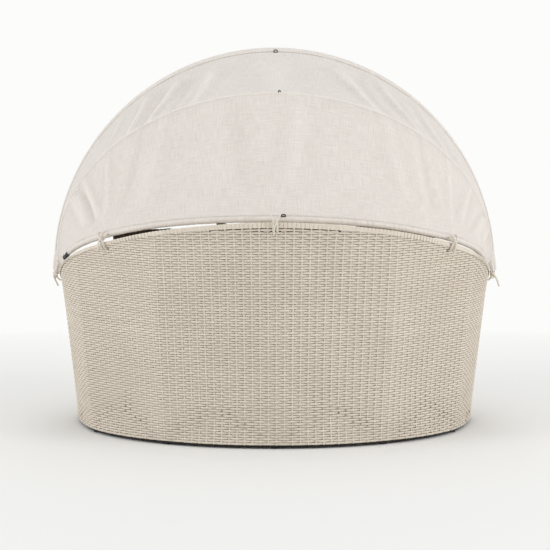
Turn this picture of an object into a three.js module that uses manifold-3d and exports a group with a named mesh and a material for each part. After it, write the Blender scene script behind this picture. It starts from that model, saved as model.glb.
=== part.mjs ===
// Round outdoor daybed in two woven halves, with a hood of cloth that folds on three nested hoops.
// Millimetres, +Z up. The back of the tub is at +Y and the open front at -Y.
// The origin is on the floor, under the middle of the hinge line that the hoops swing on.

import * as THREE from "three";
import { mergeVertices } from "three/addons/utils/BufferGeometryUtils.js";
import Module from "manifold-3d";

const wasm = await Module();
wasm.setup();

// Plan of the tub
const cornerCount = 12;
const rimRadius = 870;
const wallLean = 70;
const armReach = 18;
const halvesGap = 0.9;

// Heights above the floor
const rimSideHeight = 578;
const rimBackHeight = 789;
const seatHeight = 330;
const footHeight = 5;
const footBarHeight = 12;

// Wall build-up, from the outside in
const weaveThickness = 4;
const stakeGap = 7;
const postSize = 20;
const postWall = 1.5;
const liningGap = 1;
const rimBandHeight = 6;
const skinParts = 3;

// Clearances and overruns
const seatedGap = 0.3;
const softGap = 8;
const overrun = 30;
const weldDistance = 1e-4;

// Bars, deck and feet
const footBarInset = 2;
const footBarWidth = 40;
const seatBarWidth = 26;
const seatBarHeight = 20;
const barWall = 2;
const crossBarWidth = 30;
const crossBarHeight = 15;
const crossBarOffset = 280;
const deckThickness = 4;
const glideRadius = 14;
const glideStemRadius = 8;
const glideInset = 22;
const glideSegments = 10;
const frontFootCount = 4;

// Hoops and hinges
const hingeRise = 31;
const hoopTube = 19;
const hoopWall = 1.5;
const hoopOverRim = 20;
const hoopNesting = 22;
const hoopTail = 14;
const frontHoopAngle = 90;
const middleHoopAngle = 50;
const hemOverRim = 16.5;
const hoopSteps = 24;
const tubeSides = 8;
const boreSides = 4;
const boltRadius = 4;
const boltHeadRadius = 9;
const boltHeadHeight = 5;
const boltDomeShares = { radius: 0.75, height: 0.7 };
const bracketThickness = 5;
const bracketWidth = 24;
const bracketDrop = 23;
const roundSegments = 12;

// Cloth of the hood
const clothThickness = 2;
const pocketEase = 0.6;
const clothMargin = 34;
const panelMargin = 56;
const clothSteps = 48;
const ridgeRise = 1;
const ridgeWrapAngle = 45;
const pocketMeetAngle = 50;
const panelRows = 5;
const frontPanelSag = 14;
const rearPanelSag = 8;
const frontFoldDepth = 9;
const frontFoldCount = 11;
const rearFoldDepth = 4;
const rearFoldCount = 7;
const crossFoldCount = 4;
const crossFoldShare = 0.6;

// Ties along the hem
const tieDiameter = 4.5;
const tieSides = 8;
const strandSteps = 5;
const stitchSteps = 10;
const tailSteps = 5;
const knotRadius = 8;
const knotSegments = 8;
const tieHoleRadius = 4;
const tieHoleSpacing = 14;
const tieHoleDrop = 24;
const tieTail = 46;
const tieBendShare = 0.4;
const knotDrop = 3;
const endKnotDrop = 12;
const endKnotOut = 17;

// Where each tie is sewn along the hem hoop and knotted round the rim, in degrees, and how its tail leans
const middleKnot = { drop: knotDrop, out: 0 };
const endKnot = { drop: endKnotDrop, out: endKnotOut };
const ties = [
  { name: "tie_left_end", hemAngle: 4.2, rimAngle: 2.6, leanShare: 0.09, ...endKnot },
  { name: "tie_left", hemAngle: 42.6, rimAngle: 41.9, leanShare: 0.15, ...middleKnot },
  { name: "tie_centre", hemAngle: 90, rimAngle: 90, leanShare: 0.02, ...middleKnot },
  { name: "tie_right", hemAngle: 139.4, rimAngle: 140.1, leanShare: -0.11, ...middleKnot },
  { name: "tie_right_end", hemAngle: 175.8, rimAngle: 177.4, leanShare: -0.17, ...endKnot },
];

// Small rings on the hood's centre line
const ringSize = 16;
const ringBar = 3;
const frontRingTurn = -25;
const hemRingTurn = 20;

// Cushions and pillows
const seatCushionThickness = 115;
const seatCushionCrown = 18;
const cushionSideSteps = 4;
const cushionDrawIn = 7;
const cushionEdgeRadius = 22;
const cushionEdgeShares = [
  { inset: 1, rise: 0 },
  { inset: 0.25, rise: 0.5 },
  { inset: 0, rise: 1.5 },
];
const crownShares = { shoulderInset: 3, shoulderRise: 0.45, middleInset: 0.4, middleRise: 0.85 };
const pillowWidthShare = 0.5125;
const pillowHeight = 356;
const pillowThickness = 120;
const pillowEdge = 8;
const pillowSteps = 8;
const pillowDrawIn = 18;
const pillowEdgePower = 4;
const pillowFatPower = 0.6;
const pillowLean = 12;
const pillowInset = 184;
const sidePillowLift = 11.1;
const middlePillowLift = 9.7;
const pillows = [
  { name: "pillow_left", turn: -39, lift: sidePillowLift },
  { name: "pillow_middle", turn: 0, lift: middlePillowLift },
  { name: "pillow_right", turn: 39, lift: sidePillowLift },
];

// Sizes worked out from the ones above
const footRadius = rimRadius - wallLean;
const wallDepth = weaveThickness + stakeGap + postSize + liningGap + weaveThickness;
const footBarTop = footHeight + footBarHeight;
const weaveFoot = footBarTop + seatedGap;
const deckUnderside = seatHeight - deckThickness;
const seatBarTop = deckUnderside - seatedGap;
const seatBarFoot = seatBarTop - seatBarHeight;
const hingeHeight = rimSideHeight + hingeRise;
const tubeRadius = hoopTube / 2;
const frontHoopRadius = rimRadius + hoopOverRim;
const middleHoopRadius = frontHoopRadius - hoopNesting;
const hemHoopRadius = middleHoopRadius - hoopNesting;
const hemRise = rimBackHeight + hemOverRim - hingeHeight;
const hemHoopAngle = THREE.MathUtils.radToDeg(Math.asin(hemRise / hemHoopRadius));
const pocketInnerRadius = tubeRadius + pocketEase;
const pocketOuterRadius = pocketInnerRadius + clothThickness;
const cornerAngle = (2 * Math.PI) / cornerCount;
const halfCorners = cornerCount / 2;
const frontFootStep = halfCorners / (frontFootCount - 1);
const frontCentre = -(armReach + halvesGap);
const frameInset = weaveThickness + seatedGap;
const frameReach = armReach - frameInset;
const pillowWidth = rimRadius * pillowWidthShare;
const pillowDistance = rimRadius - pillowInset;

// Finishes
const finishes = {
  wicker: { color: 0xcdc3af, roughness: 0.75, metalness: 0 },
  darkPaint: { color: 0x24221f, roughness: 0.5, metalness: 0.3 },
  steel: { color: 0x9a9a98, roughness: 0.35, metalness: 0.9 },
  plastic: { color: 0x1b1b1b, roughness: 0.6, metalness: 0 },
  hoodCloth: { color: 0xe1dad1, roughness: 0.9, metalness: 0 },
  cushionCloth: { color: 0xd8cfc2, roughness: 0.9, metalness: 0 },
  pillowCloth: { color: 0x4a3d35, roughness: 0.9, metalness: 0 },
  cord: { color: 0xd5cab8, roughness: 0.9, metalness: 0 },
  board: { color: 0x4a4640, roughness: 0.8, metalness: 0 },
};

const daybed = new THREE.Group();

function addPiece(name, geometry, finish) {
  const mesh = new THREE.Mesh(geometry, new THREE.MeshStandardMaterial(finishes[finish]));
  mesh.name = name;
  daybed.add(mesh);
  return mesh;
}

// Solids from plain lists of corners and faces

function signedVolume(points, faces) {
  let volume = 0;
  const edge = new THREE.Vector3();
  for (const [a, b, c] of faces) {
    volume += edge.crossVectors(points[b], points[c]).dot(points[a]);
  }
  return volume;
}

function closedGeometry(points, faces) {
  const outward = signedVolume(points, faces) > 0;
  const order = faces.flatMap(([a, b, c]) => (outward ? [a, b, c] : [a, c, b]));
  const geometry = new THREE.BufferGeometry().setFromPoints(points);
  geometry.setIndex(order);
  geometry.computeVertexNormals();
  return geometry;
}

// A sheet with two faces, each a grid of points of the same size, joined round the four borders
function sheetBetween(outerGrid, innerGrid) {
  const rows = outerGrid.length;
  const columns = outerGrid[0].length;
  const points = [...outerGrid.flat(), ...innerGrid.flat()];
  const faces = [];
  const at = (row, column, layer) => layer * rows * columns + row * columns + column;
  const quad = (a, b, c, d) => faces.push([a, b, c], [a, c, d]);
  for (let r = 0; r < rows - 1; r += 1) {
    for (let c = 0; c < columns - 1; c += 1) {
      quad(at(r, c, 0), at(r, c + 1, 0), at(r + 1, c + 1, 0), at(r + 1, c, 0));
      quad(at(r, c, 1), at(r + 1, c, 1), at(r + 1, c + 1, 1), at(r, c + 1, 1));
    }
    quad(at(r, 0, 0), at(r + 1, 0, 0), at(r + 1, 0, 1), at(r, 0, 1));
    quad(at(r, columns - 1, 0), at(r, columns - 1, 1), at(r + 1, columns - 1, 1), at(r + 1, columns - 1, 0));
  }
  for (let c = 0; c < columns - 1; c += 1) {
    quad(at(0, c, 0), at(0, c, 1), at(0, c + 1, 1), at(0, c + 1, 0));
    quad(at(rows - 1, c, 0), at(rows - 1, c + 1, 0), at(rows - 1, c + 1, 1), at(rows - 1, c, 1));
  }
  return closedGeometry(points, faces);
}

// A body skinned over closed rings of points, ended by a middle point below and above
function ringBody(rings, lowMiddle, highMiddle) {
  const count = rings[0].length;
  const points = [...rings.flat(), lowMiddle, highMiddle];
  const low = rings.length * count;
  const faces = [];
  for (let i = 0; i < count; i += 1) {
    const next = (i + 1) % count;
    for (let r = 0; r < rings.length - 1; r += 1) {
      const a = r * count + i;
      const b = r * count + next;
      faces.push([a, b, b + count], [a, b + count, a + count]);
    }
    faces.push([low, next, i]);
    const top = (rings.length - 1) * count;
    faces.push([low + 1, top + i, top + next]);
  }
  return closedGeometry(points, faces);
}

function middleOf(ring) {
  const sum = new THREE.Vector3();
  ring.forEach((point) => sum.add(point));
  return sum.divideScalar(ring.length);
}

function loftBetween(lowRing, highRing) {
  return ringBody([lowRing, highRing], middleOf(lowRing), middleOf(highRing));
}

// Cutting and joining

function solidOf(geometry) {
  const bare = geometry.clone();
  bare.deleteAttribute("normal");
  bare.deleteAttribute("uv");
  const merged = mergeVertices(bare, weldDistance);
  return new wasm.Manifold(
    new wasm.Mesh({
      numProp: 3,
      vertProperties: Float32Array.from(merged.attributes.position.array),
      triVerts: Uint32Array.from(merged.index.array),
    }),
  );
}

function geometryOf(solid) {
  const mesh = solid.getMesh();
  const geometry = new THREE.BufferGeometry();
  geometry.setAttribute("position", new THREE.BufferAttribute(Float32Array.from(mesh.vertProperties), 3));
  geometry.setIndex(Array.from(mesh.triVerts));
  geometry.computeVertexNormals();
  return geometry;
}

function cut(geometry, cutters) {
  let solid = solidOf(geometry);
  for (const cutter of cutters) {
    solid = solid.subtract(solidOf(cutter));
  }
  return geometryOf(solid);
}

function join(geometries) {
  let solid = solidOf(geometries[0]);
  for (const geometry of geometries.slice(1)) {
    solid = solid.add(solidOf(geometry));
  }
  return geometryOf(solid);
}

// Plans of the two halves, and lines moved inwards from them

function insetLine(line, inset, closed = false) {
  const count = line.length;
  const inwardAfter = (i) => {
    const [ax, ay] = line[i];
    const [bx, by] = line[(i + 1) % count];
    const length = Math.hypot(bx - ax, by - ay);
    return [-(by - ay) / length, (bx - ax) / length];
  };
  return line.map(([x, y], i) => {
    const first = i === 0 && !closed;
    const last = i === count - 1 && !closed;
    const before = inwardAfter(first ? i : (i + count - 1) % count);
    const after = inwardAfter(last ? i - 1 : i);
    const spread = 1 + before[0] * after[0] + before[1] * after[1];
    return [
      x + (inset * (before[0] + after[0])) / spread,
      y + (inset * (before[1] + after[1])) / spread,
    ];
  });
}

function backCorners(radius) {
  const corners = [];
  for (let i = 0; i <= halfCorners; i += 1) {
    corners.push([radius * Math.cos(i * cornerAngle), radius * Math.sin(i * cornerAngle)]);
  }
  return corners;
}

// The rear wall from one arm end round the back to the other
function wallPlan(radius, reach) {
  return [[radius, -reach], ...backCorners(radius), [-radius, -reach]];
}

// The same, turned in across the two arm ends
function wrappedPlan(radius, reach) {
  const inner = radius - wallDepth;
  return [[inner, -reach], ...wallPlan(radius, reach), [-inner, -reach]];
}

function rimHeightAt(y) {
  return rimSideHeight + ((rimBackHeight - rimSideHeight) * y) / rimRadius;
}

// One line of points on the leaning rear wall. A plan maps a radius to a line, and heightAt a depth to
// a height.
function wallLine(plan, inset, heightAt) {
  const low = insetLine(plan(footRadius), inset);
  const high = insetLine(plan(rimRadius), inset);
  return low.map(([x, y], i) => {
    const [highX, highY] = high[i];
    const z = heightAt(highY);
    const rise = (z - footBarTop) / (rimHeightAt(highY) - footBarTop);
    return new THREE.Vector3(x + (highX - x) * rise, y + (highY - y) * rise, z);
  });
}

const alongRim = (drop) => (y) => rimHeightAt(y) - drop;
const level = (z) => () => z;

function split(line, parts) {
  return line.slice(1).reduce((points, point, i) => {
    for (let part = 1; part <= parts; part += 1) {
      points.push(new THREE.Vector3().lerpVectors(line[i], point, part / parts));
    }
    return points;
  }, [line[0]]);
}

// A wall between two insets, from one height rule to another. Its facets are slightly twisted, so a
// tall wall is split into parts.
function wallBetween(plan, outerInset, innerInset, lowAt, highAt, parts = 1) {
  const face = (inset) => {
    const low = split(wallLine(plan, inset, lowAt), parts);
    const high = split(wallLine(plan, inset, highAt), parts);
    const rows = [];
    for (let row = 0; row <= parts; row += 1) {
      rows.push(low.map((point, i) => new THREE.Vector3().lerpVectors(point, high[i], row / parts)));
    }
    return rows;
  };
  return sheetBetween(face(outerInset), face(innerInset));
}

function shapeOf(points, hole) {
  const shape = new THREE.Shape(points.map(([x, y]) => new THREE.Vector2(x, y)));
  if (hole) {
    shape.holes.push(new THREE.Path(hole.map(([x, y]) => new THREE.Vector2(x, y))));
  }
  return shape;
}

function plate(points, hole, foot, height) {
  const geometry = new THREE.ExtrudeGeometry(shapeOf(points, hole), { depth: height, bevelEnabled: false });
  geometry.translate(0, 0, foot);
  return geometry;
}

// What is left of a convex outline beyond a line moved inwards from one of its edges
function trimmed(points, [ax, ay], [bx, by], inset) {
  const length = Math.hypot(bx - ax, by - ay);
  const depth = ([x, y]) => ((bx - ax) * (y - ay) - (by - ay) * (x - ax)) / length - inset;
  return points.flatMap((point, i) => {
    const next = points[(i + 1) % points.length];
    const [here, there] = [depth(point), depth(next)];
    const kept = here >= 0 ? [point] : [];
    if (here * there < 0) {
      const share = here / (here - there);
      kept.push([point[0] + (next[0] - point[0]) * share, point[1] + (next[1] - point[1]) * share]);
    }
    return kept;
  });
}

// Closed plan of the rear half at one height, moved in from the wall and from the front edge
function rearOutline(inset, frontInset, z) {
  const line = wallLine((radius) => wallPlan(radius, armReach), 0, level(z)).map((p) => [p.x, p.y]);
  const edges = line.map((point, i) => [point, line[(i + 1) % line.length]]);
  const front = edges.length - 1;
  return edges.reduce(
    (kept, [from, to], i) => trimmed(kept, from, to, i === front ? frontInset : inset),
    line,
  );
}

// The same for the front half

function cornerRadiusAt(z) {
  return footRadius + ((rimRadius - footRadius) * (z - footBarTop)) / (rimSideHeight - footBarTop);
}

function frontOutline(inset, z) {
  const line = backCorners(cornerRadiusAt(z)).map(([x, y]) => [-x, frontCentre - y]);
  return insetLine(line, inset, true);
}

// An angle bar bent into a closed ring: a flat top and a turned-down outer edge
function angleRing(outline, width, foot, height) {
  const ring = plate(outline(0), outline(width), foot, height);
  const underside = plate(outline(barWall), null, foot - overrun, height - barWall + overrun);
  return cut(ring, [underside]);
}

// Round things

function polygon(radius, count) {
  const points = [];
  for (let i = 0; i < count; i += 1) {
    const angle = (2 * Math.PI * (i + 0.5)) / count;
    points.push([radius * Math.cos(angle), radius * Math.sin(angle)]);
  }
  return points;
}

// A path through given points, met exactly at each step
class RouteCurve extends THREE.Curve {
  constructor(points) {
    super();
    this.points = points;
  }

  getPoint(share, target = new THREE.Vector3()) {
    const last = this.points.length - 1;
    const place = share * last;
    const index = Math.min(Math.floor(place), last - 1);
    return target.lerpVectors(this.points[index], this.points[index + 1], place - index);
  }

  getPointAt(share, target) {
    return this.getPoint(share, target);
  }

  getTangentAt(share, target = new THREE.Vector3()) {
    const last = this.points.length - 1;
    const index = Math.round(share * last);
    const before = this.points[Math.max(index - 1, 0)];
    const after = this.points[Math.min(index + 1, last)];
    return target.subVectors(after, before).normalize();
  }
}

function tubeAlong(points, radius, bore) {
  const hole = bore ? polygon(bore.radius, bore.sides) : null;
  return new THREE.ExtrudeGeometry(shapeOf(polygon(radius, tubeSides), hole), {
    steps: points.length - 1,
    extrudePath: new RouteCurve(points),
    bevelEnabled: false,
  });
}

function crossCylinder(radius, length) {
  const cylinder = new THREE.CylinderGeometry(radius, radius, length, roundSegments);
  cylinder.rotateZ(Math.PI / 2);
  return cylinder;
}

// Rear half: frame

function footBar(name, outline) {
  addPiece(name, angleRing(outline(footHeight), footBarWidth, footHeight, footBarHeight), "darkPaint");
}

function rearRingOutline(inset, frontInset, z) {
  return (extra) => rearOutline(inset + extra, frontInset + extra, z);
}

function frontRingOutline(inset, z) {
  return (extra) => frontOutline(inset + extra, z);
}

function squareAbout([x, y], half, turn) {
  return [
    [-half, -half],
    [half, -half],
    [half, half],
    [-half, half],
  ].map(([u, v]) => [
    x + u * Math.cos(turn) - v * Math.sin(turn),
    y + u * Math.sin(turn) + v * Math.cos(turn),
  ]);
}

// A leaning square tube from one plan point to another, its ends cut to the given heights
function leaningPost(low, high, highZ, turn, topAt) {
  const prism = (half, past) => {
    const at = (share, shift) => {
      const middle = [low[0] + (high[0] - low[0]) * share, low[1] + (high[1] - low[1]) * share];
      return squareAbout(middle, half, turn).map(([x, y]) => {
        const z = share < 0.5 ? weaveFoot : topAt(y);
        return new THREE.Vector3(x, y, z + shift);
      });
    };
    const pastShare = past / (highZ - weaveFoot);
    return loftBetween(at(-pastShare, -past), at(1 + pastShare, past));
  };
  return cut(prism(postSize / 2, 0), [prism(postSize / 2 - postWall, overrun)]);
}

const postInset = weaveThickness + stakeGap + postSize / 2;
const rimTubeDrop = rimBandHeight + seatedGap;
const postTopDrop = rimTubeDrop + postSize + seatedGap;

function rearPosts() {
  const plan = (radius) => wallPlan(radius, armReach);
  const low = wallLine(plan, postInset, level(weaveFoot));
  const high = wallLine(plan, postInset, alongRim(postTopDrop));
  for (let i = 0; i <= halfCorners; i += 1) {
    const from = [low[i + 1].x, low[i + 1].y];
    const to = [high[i + 1].x, high[i + 1].y];
    const post = leaningPost(from, to, high[i + 1].z, i * cornerAngle, alongRim(postTopDrop));
    addPiece(`rear_post_${i + 1}`, post, "darkPaint");
  }
}

function rimTube() {
  const bar = (wall, reach) => {
    const plan = (radius) => wallPlan(radius, reach);
    const outer = weaveThickness + stakeGap + wall;
    const inner = weaveThickness + stakeGap + postSize - wall;
    const underside = alongRim(rimTubeDrop + postSize - wall);
    return wallBetween(plan, outer, inner, underside, alongRim(rimTubeDrop + wall));
  };
  addPiece("rim_tube", cut(bar(0, frameReach), [bar(postWall, frameReach + overrun)]), "darkPaint");
}

const seatBarInset = postInset + postSize / 2 + seatedGap;

function crossBars() {
  const top = seatBarTop - barWall - seatedGap;
  const outline = rearOutline(seatBarInset + barWall + seatedGap, frameInset, seatBarFoot);
  const farX = crossBarOffset + crossBarWidth / 2;
  const at = outline.findIndex(([x], i) => i > 0 && x < farX);
  const [ax, ay] = outline[at - 1];
  const [bx, by] = outline[at];
  const back = ay + ((by - ay) * (farX - ax)) / (bx - ax);
  const front = -(frameReach - barWall - seatedGap);
  [-1, 1].forEach((side, i) => {
    const bar = (wall, past) => {
      const length = back - front + 2 * past;
      const box = new THREE.BoxGeometry(crossBarWidth - 2 * wall, length, crossBarHeight - 2 * wall);
      box.translate(side * crossBarOffset, (front + back) / 2, top - crossBarHeight / 2);
      return box;
    };
    addPiece(`seat_cross_bar_${i + 1}`, cut(bar(0, 0), [bar(postWall, overrun)]), "darkPaint");
  });
}

function rearFrame() {
  footBar("rear_foot_bar", (z) => rearRingOutline(footBarInset, footBarInset, z));
  rearPosts();
  rimTube();
  const seatRing = angleRing(
    rearRingOutline(seatBarInset, frameInset, seatBarFoot),
    seatBarWidth,
    seatBarFoot,
    seatBarHeight,
  );
  addPiece("rear_seat_bar", seatRing, "darkPaint");
  crossBars();
  const deckPlan = rearOutline(wallDepth + seatedGap, frameInset, deckUnderside);
  addPiece("rear_deck", plate(deckPlan, null, deckUnderside, deckThickness), "board");
}

// Rear half: woven skins

function tieHoles() {
  const holes = [];
  const upright = new THREE.Vector3(0, 1, 0);
  for (const tie of ties) {
    const spot = tieSpot(tie);
    for (const hole of spot.holes) {
      const drill = new THREE.CylinderGeometry(tieHoleRadius, tieHoleRadius, 2 * overrun, roundSegments);
      drill.applyQuaternion(new THREE.Quaternion().setFromUnitVectors(upright, spot.outward));
      drill.translate(hole.x, hole.y, hole.z);
      holes.push(drill);
    }
  }
  return holes;
}

function rearSkins() {
  const wrapped = (radius) => wrappedPlan(radius, armReach);
  const skin = wallBetween(wrapped, 0, weaveThickness, level(weaveFoot), alongRim(rimTubeDrop), skinParts);
  addPiece("rear_outer_weave", cut(skin, tieHoles()), "wicker");

  const lined = (radius) => wallPlan(radius, frameReach);
  const liningInset = wallDepth - weaveThickness;
  const top = alongRim(rimTubeDrop);
  const lining = wallBetween(lined, liningInset, wallDepth, level(deckUnderside), top, skinParts);
  addPiece("rear_inner_weave", lining, "wicker");

  const straight = (radius) => wallPlan(radius, armReach);
  const band = wallBetween(straight, 0, wallDepth, alongRim(rimBandHeight), alongRim(0));
  addPiece("rim_wrap", band, "wicker");

  const halfAt = (z) => cornerRadiusAt(z) - wallDepth - seatedGap;
  const panel = [
    [-halfAt(weaveFoot), weaveFoot],
    [halfAt(weaveFoot), weaveFoot],
    [halfAt(seatHeight), seatHeight],
    [-halfAt(seatHeight), seatHeight],
  ];
  const fascia = new THREE.ExtrudeGeometry(shapeOf(panel), { depth: weaveThickness, bevelEnabled: false });
  fascia.rotateX(Math.PI / 2);
  fascia.translate(0, weaveThickness - armReach, 0);
  addPiece("rear_front_panel", fascia, "wicker");
}

// Front half

function frontHalf() {
  footBar("front_foot_bar", (z) => frontRingOutline(footBarInset, z));
  const width = postInset + seatBarWidth;
  const topRing = angleRing(frontRingOutline(frameInset, seatBarFoot), width, seatBarFoot, seatBarHeight);
  addPiece("front_seat_bar", topRing, "darkPaint");

  const postTop = seatBarFoot - seatedGap;
  const low = frontOutline(postInset, weaveFoot);
  const high = frontOutline(postInset, postTop);
  for (let i = 0; i < frontFootCount; i += 1) {
    const corner = i * frontFootStep;
    const turn = corner * cornerAngle;
    const post = leaningPost(low[corner], high[corner], postTop, turn, level(postTop));
    addPiece(`front_post_${i + 1}`, post, "darkPaint");
  }

  const ring = (inset, z) => frontOutline(inset, z).map(([x, y]) => new THREE.Vector3(x, y, z));
  const outer = loftBetween(ring(0, weaveFoot), ring(0, seatHeight));
  const inner = loftBetween(
    ring(weaveThickness, weaveFoot - overrun),
    ring(weaveThickness, seatHeight + overrun),
  );
  addPiece("front_weave", cut(outer, [inner]), "wicker");
  const deckPlan = frontOutline(weaveThickness + seatedGap, deckUnderside);
  addPiece("front_deck", plate(deckPlan, null, deckUnderside, deckThickness), "board");
}

// Feet: each a disc on the floor with a stem up to the underside of the foot bar

function glide(name, [x, y]) {
  const discTop = footHeight - seatedGap;
  const stemTop = footBarTop - barWall - seatedGap;
  const profile = [
    new THREE.Vector2(0, 0),
    new THREE.Vector2(glideRadius, 0),
    new THREE.Vector2(glideRadius, discTop),
    new THREE.Vector2(glideStemRadius, discTop),
    new THREE.Vector2(glideStemRadius, stemTop),
    new THREE.Vector2(0, stemTop),
  ];
  const foot = new THREE.LatheGeometry(profile, glideSegments);
  foot.rotateX(Math.PI / 2);
  foot.translate(x, y, 0);
  addPiece(name, foot, "plastic");
}

function glides() {
  const rear = insetLine(wallPlan(footRadius, armReach), glideInset);
  rear.slice(1, -1).forEach((place, i) => glide(`rear_foot_${i + 1}`, place));
  const front = frontOutline(glideInset, footHeight);
  for (let i = 0; i < frontFootCount; i += 1) {
    glide(`front_foot_${i + 1}`, front[i * frontFootStep]);
  }
}

// Hoops, brackets and pivot bolts

const degrees = THREE.MathUtils.degToRad;

function hoopAngles(steps, margin) {
  const angles = [margin];
  for (let i = 1; i < steps; i += 1) {
    const angle = (i * Math.PI) / steps;
    if (angle > margin && angle < Math.PI - margin) {
      angles.push(angle);
    }
  }
  angles.push(Math.PI - margin);
  return angles;
}

function onHoop(radius) {
  return (angle) => new THREE.Vector3(radius * Math.cos(angle), radius * Math.sin(angle), 0);
}

function swing(mesh, angle) {
  mesh.rotation.x = degrees(angle);
  mesh.position.z = hingeHeight;
}

function hoop(name, radius, angle) {
  const arc = hoopAngles(hoopSteps, 0).map(onHoop(radius));
  const path = [new THREE.Vector3(radius, -hoopTail, 0), ...arc, new THREE.Vector3(-radius, -hoopTail, 0)];
  const tube = tubeAlong(path, tubeRadius, { radius: tubeRadius - hoopWall, sides: boreSides });
  const drill = crossCylinder(boltRadius + seatedGap, 2 * (radius + overrun));
  swing(addPiece(name, cut(tube, [drill]), "darkPaint"), angle);
}

// A sewn pocket lies on the hoop's own path, but stops short of the hinges
function pocket(name, radius, angle) {
  const arc = hoopAngles(hoopSteps, 0).map(onHoop(radius));
  const last = arc.length - 1;
  const share = clothMargin / arc[0].distanceTo(arc[1]);
  arc[0].lerp(arc[1], share);
  arc[last].lerp(arc[last - 1], share);
  const sleeve = tubeAlong(arc, pocketOuterRadius, { radius: pocketInnerRadius, sides: tubeSides });
  swing(addPiece(name, sleeve, "hoodCloth"), angle);
}

// How far out the inner face of the wall is near an arm, at a depth behind the hinge line
function liningFaceAt(y, z) {
  const line = wallLine((radius) => wallPlan(radius, armReach), wallDepth, level(z));
  const corner = line[1];
  const next = line[2];
  return y <= corner.y ? corner.x : corner.x + ((next.x - corner.x) * (y - corner.y)) / (next.y - corner.y);
}

const bracketFoot = hingeHeight - hingeRise - bracketDrop;
const bracketFace = liningFaceAt(bracketWidth / 2, bracketFoot) - seatedGap;

function hinges() {
  const half = bracketWidth / 2;
  const outline = new THREE.Shape();
  outline.moveTo(-half, bracketFoot - hingeHeight);
  outline.lineTo(half, bracketFoot - hingeHeight);
  outline.lineTo(half, 0);
  outline.absarc(0, 0, half, 0, Math.PI, false);
  outline.closePath();
  const drill = crossCylinder(boltRadius + seatedGap, 2 * (rimRadius + overrun));
  drill.translate(0, 0, hingeHeight);
  const blank = () => {
    const geometry = new THREE.ExtrudeGeometry(outline, {
      depth: bracketThickness,
      bevelEnabled: false,
      curveSegments: roundSegments / 2,
    });
    geometry.rotateX(Math.PI / 2);
    geometry.rotateZ(Math.PI / 2);
    return geometry;
  };
  const headSeat = frontHoopRadius + tubeRadius + seatedGap;
  const boltStart = bracketFace - bracketThickness - boltHeadHeight;
  const domeRadius = boltHeadRadius * boltDomeShares.radius;
  const domeHeight = boltHeadHeight * boltDomeShares.height;
  const profile = [
    new THREE.Vector2(0, boltStart),
    new THREE.Vector2(boltRadius, boltStart),
    new THREE.Vector2(boltRadius, headSeat),
    new THREE.Vector2(boltHeadRadius, headSeat),
    new THREE.Vector2(domeRadius, headSeat + domeHeight),
    new THREE.Vector2(0, headSeat + boltHeadHeight),
  ];
  [["left", 1], ["right", -1]].forEach(([name, side]) => {
    const bracket = blank();
    bracket.translate(side > 0 ? bracketFace - bracketThickness : -bracketFace, 0, hingeHeight);
    addPiece(`hinge_bracket_${name}`, cut(bracket, [drill]), "steel");
    const bolt = new THREE.LatheGeometry(profile, roundSegments);
    bolt.rotateZ((-side * Math.PI) / 2);
    bolt.translate(0, 0, hingeHeight);
    addPiece(`pivot_bolt_${name}`, bolt, "steel");
  });
}

// Hood cloth. A point near a hoop is given by its distance from the tube's middle and the way round it:
// 0 is straight out from the hoop, and a quarter turn is towards the front of the hood.

function nearHoop(radius, hoopAngle, along, distance, wayRound) {
  const tilt = degrees(hoopAngle);
  const turn = degrees(wayRound);
  const reach = radius + distance * Math.cos(turn);
  const across = distance * Math.sin(turn);
  const up = reach * Math.sin(along);
  return new THREE.Vector3(
    reach * Math.cos(along),
    up * Math.cos(tilt) - across * Math.sin(tilt),
    hingeHeight + up * Math.sin(tilt) + across * Math.cos(tilt),
  );
}

// Folds as a depth along the hoop, strongest on the shoulders
function foldWave(count, along) {
  const shoulder = Math.sin(2 * along) ** 2;
  const wave = Math.cos(2 * count * along) + crossFoldShare * Math.cos((count + crossFoldCount) * along);
  return (shoulder * wave) / 2;
}

// A panel from the ridge over the middle hoop to the pocket of another hoop
function hoodPanel({ radius, angle, towards, sag, foldDepth, foldCount }) {
  const ridge = tubeRadius + ridgeRise;
  const marginAngle = panelMargin / middleHoopRadius;
  const face = (lift, meetAngle) => hoopAngles(clothSteps, marginAngle).map((along) => {
    const wrapReach = ridge / Math.cos(degrees(ridgeWrapAngle / 2)) + lift;
    const first = nearHoop(middleHoopRadius, middleHoopAngle, along, ridge + lift, towards * seamAngle);
    const wrap = nearHoop(middleHoopRadius, middleHoopAngle, along, wrapReach, towards * ridgeWrapAngle);
    const last = nearHoop(radius, angle, along, pocketOuterRadius + seatedGap, -towards * meetAngle);
    const outward = new THREE.Vector3().addVectors(wrap, last).divideScalar(2);
    outward.z -= hingeHeight;
    outward.normalize();
    const line = [first];
    for (let row = 0; row <= panelRows; row += 1) {
      const share = row / panelRows;
      const bow = Math.sin(Math.PI * share);
      const depth = (foldDepth * foldWave(foldCount, along) - sag * Math.sin(along)) * bow;
      line.push(new THREE.Vector3().lerpVectors(wrap, last, share).addScaledVector(outward, depth));
    }
    return line;
  });
  return sheetBetween(face(clothThickness, pocketMeetAngle - pocketCloth), face(0, pocketMeetAngle));
}

const seamAngle = THREE.MathUtils.radToDeg(seatedGap / (tubeRadius + ridgeRise));
const pocketCloth = THREE.MathUtils.radToDeg(clothThickness / pocketOuterRadius);

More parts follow.
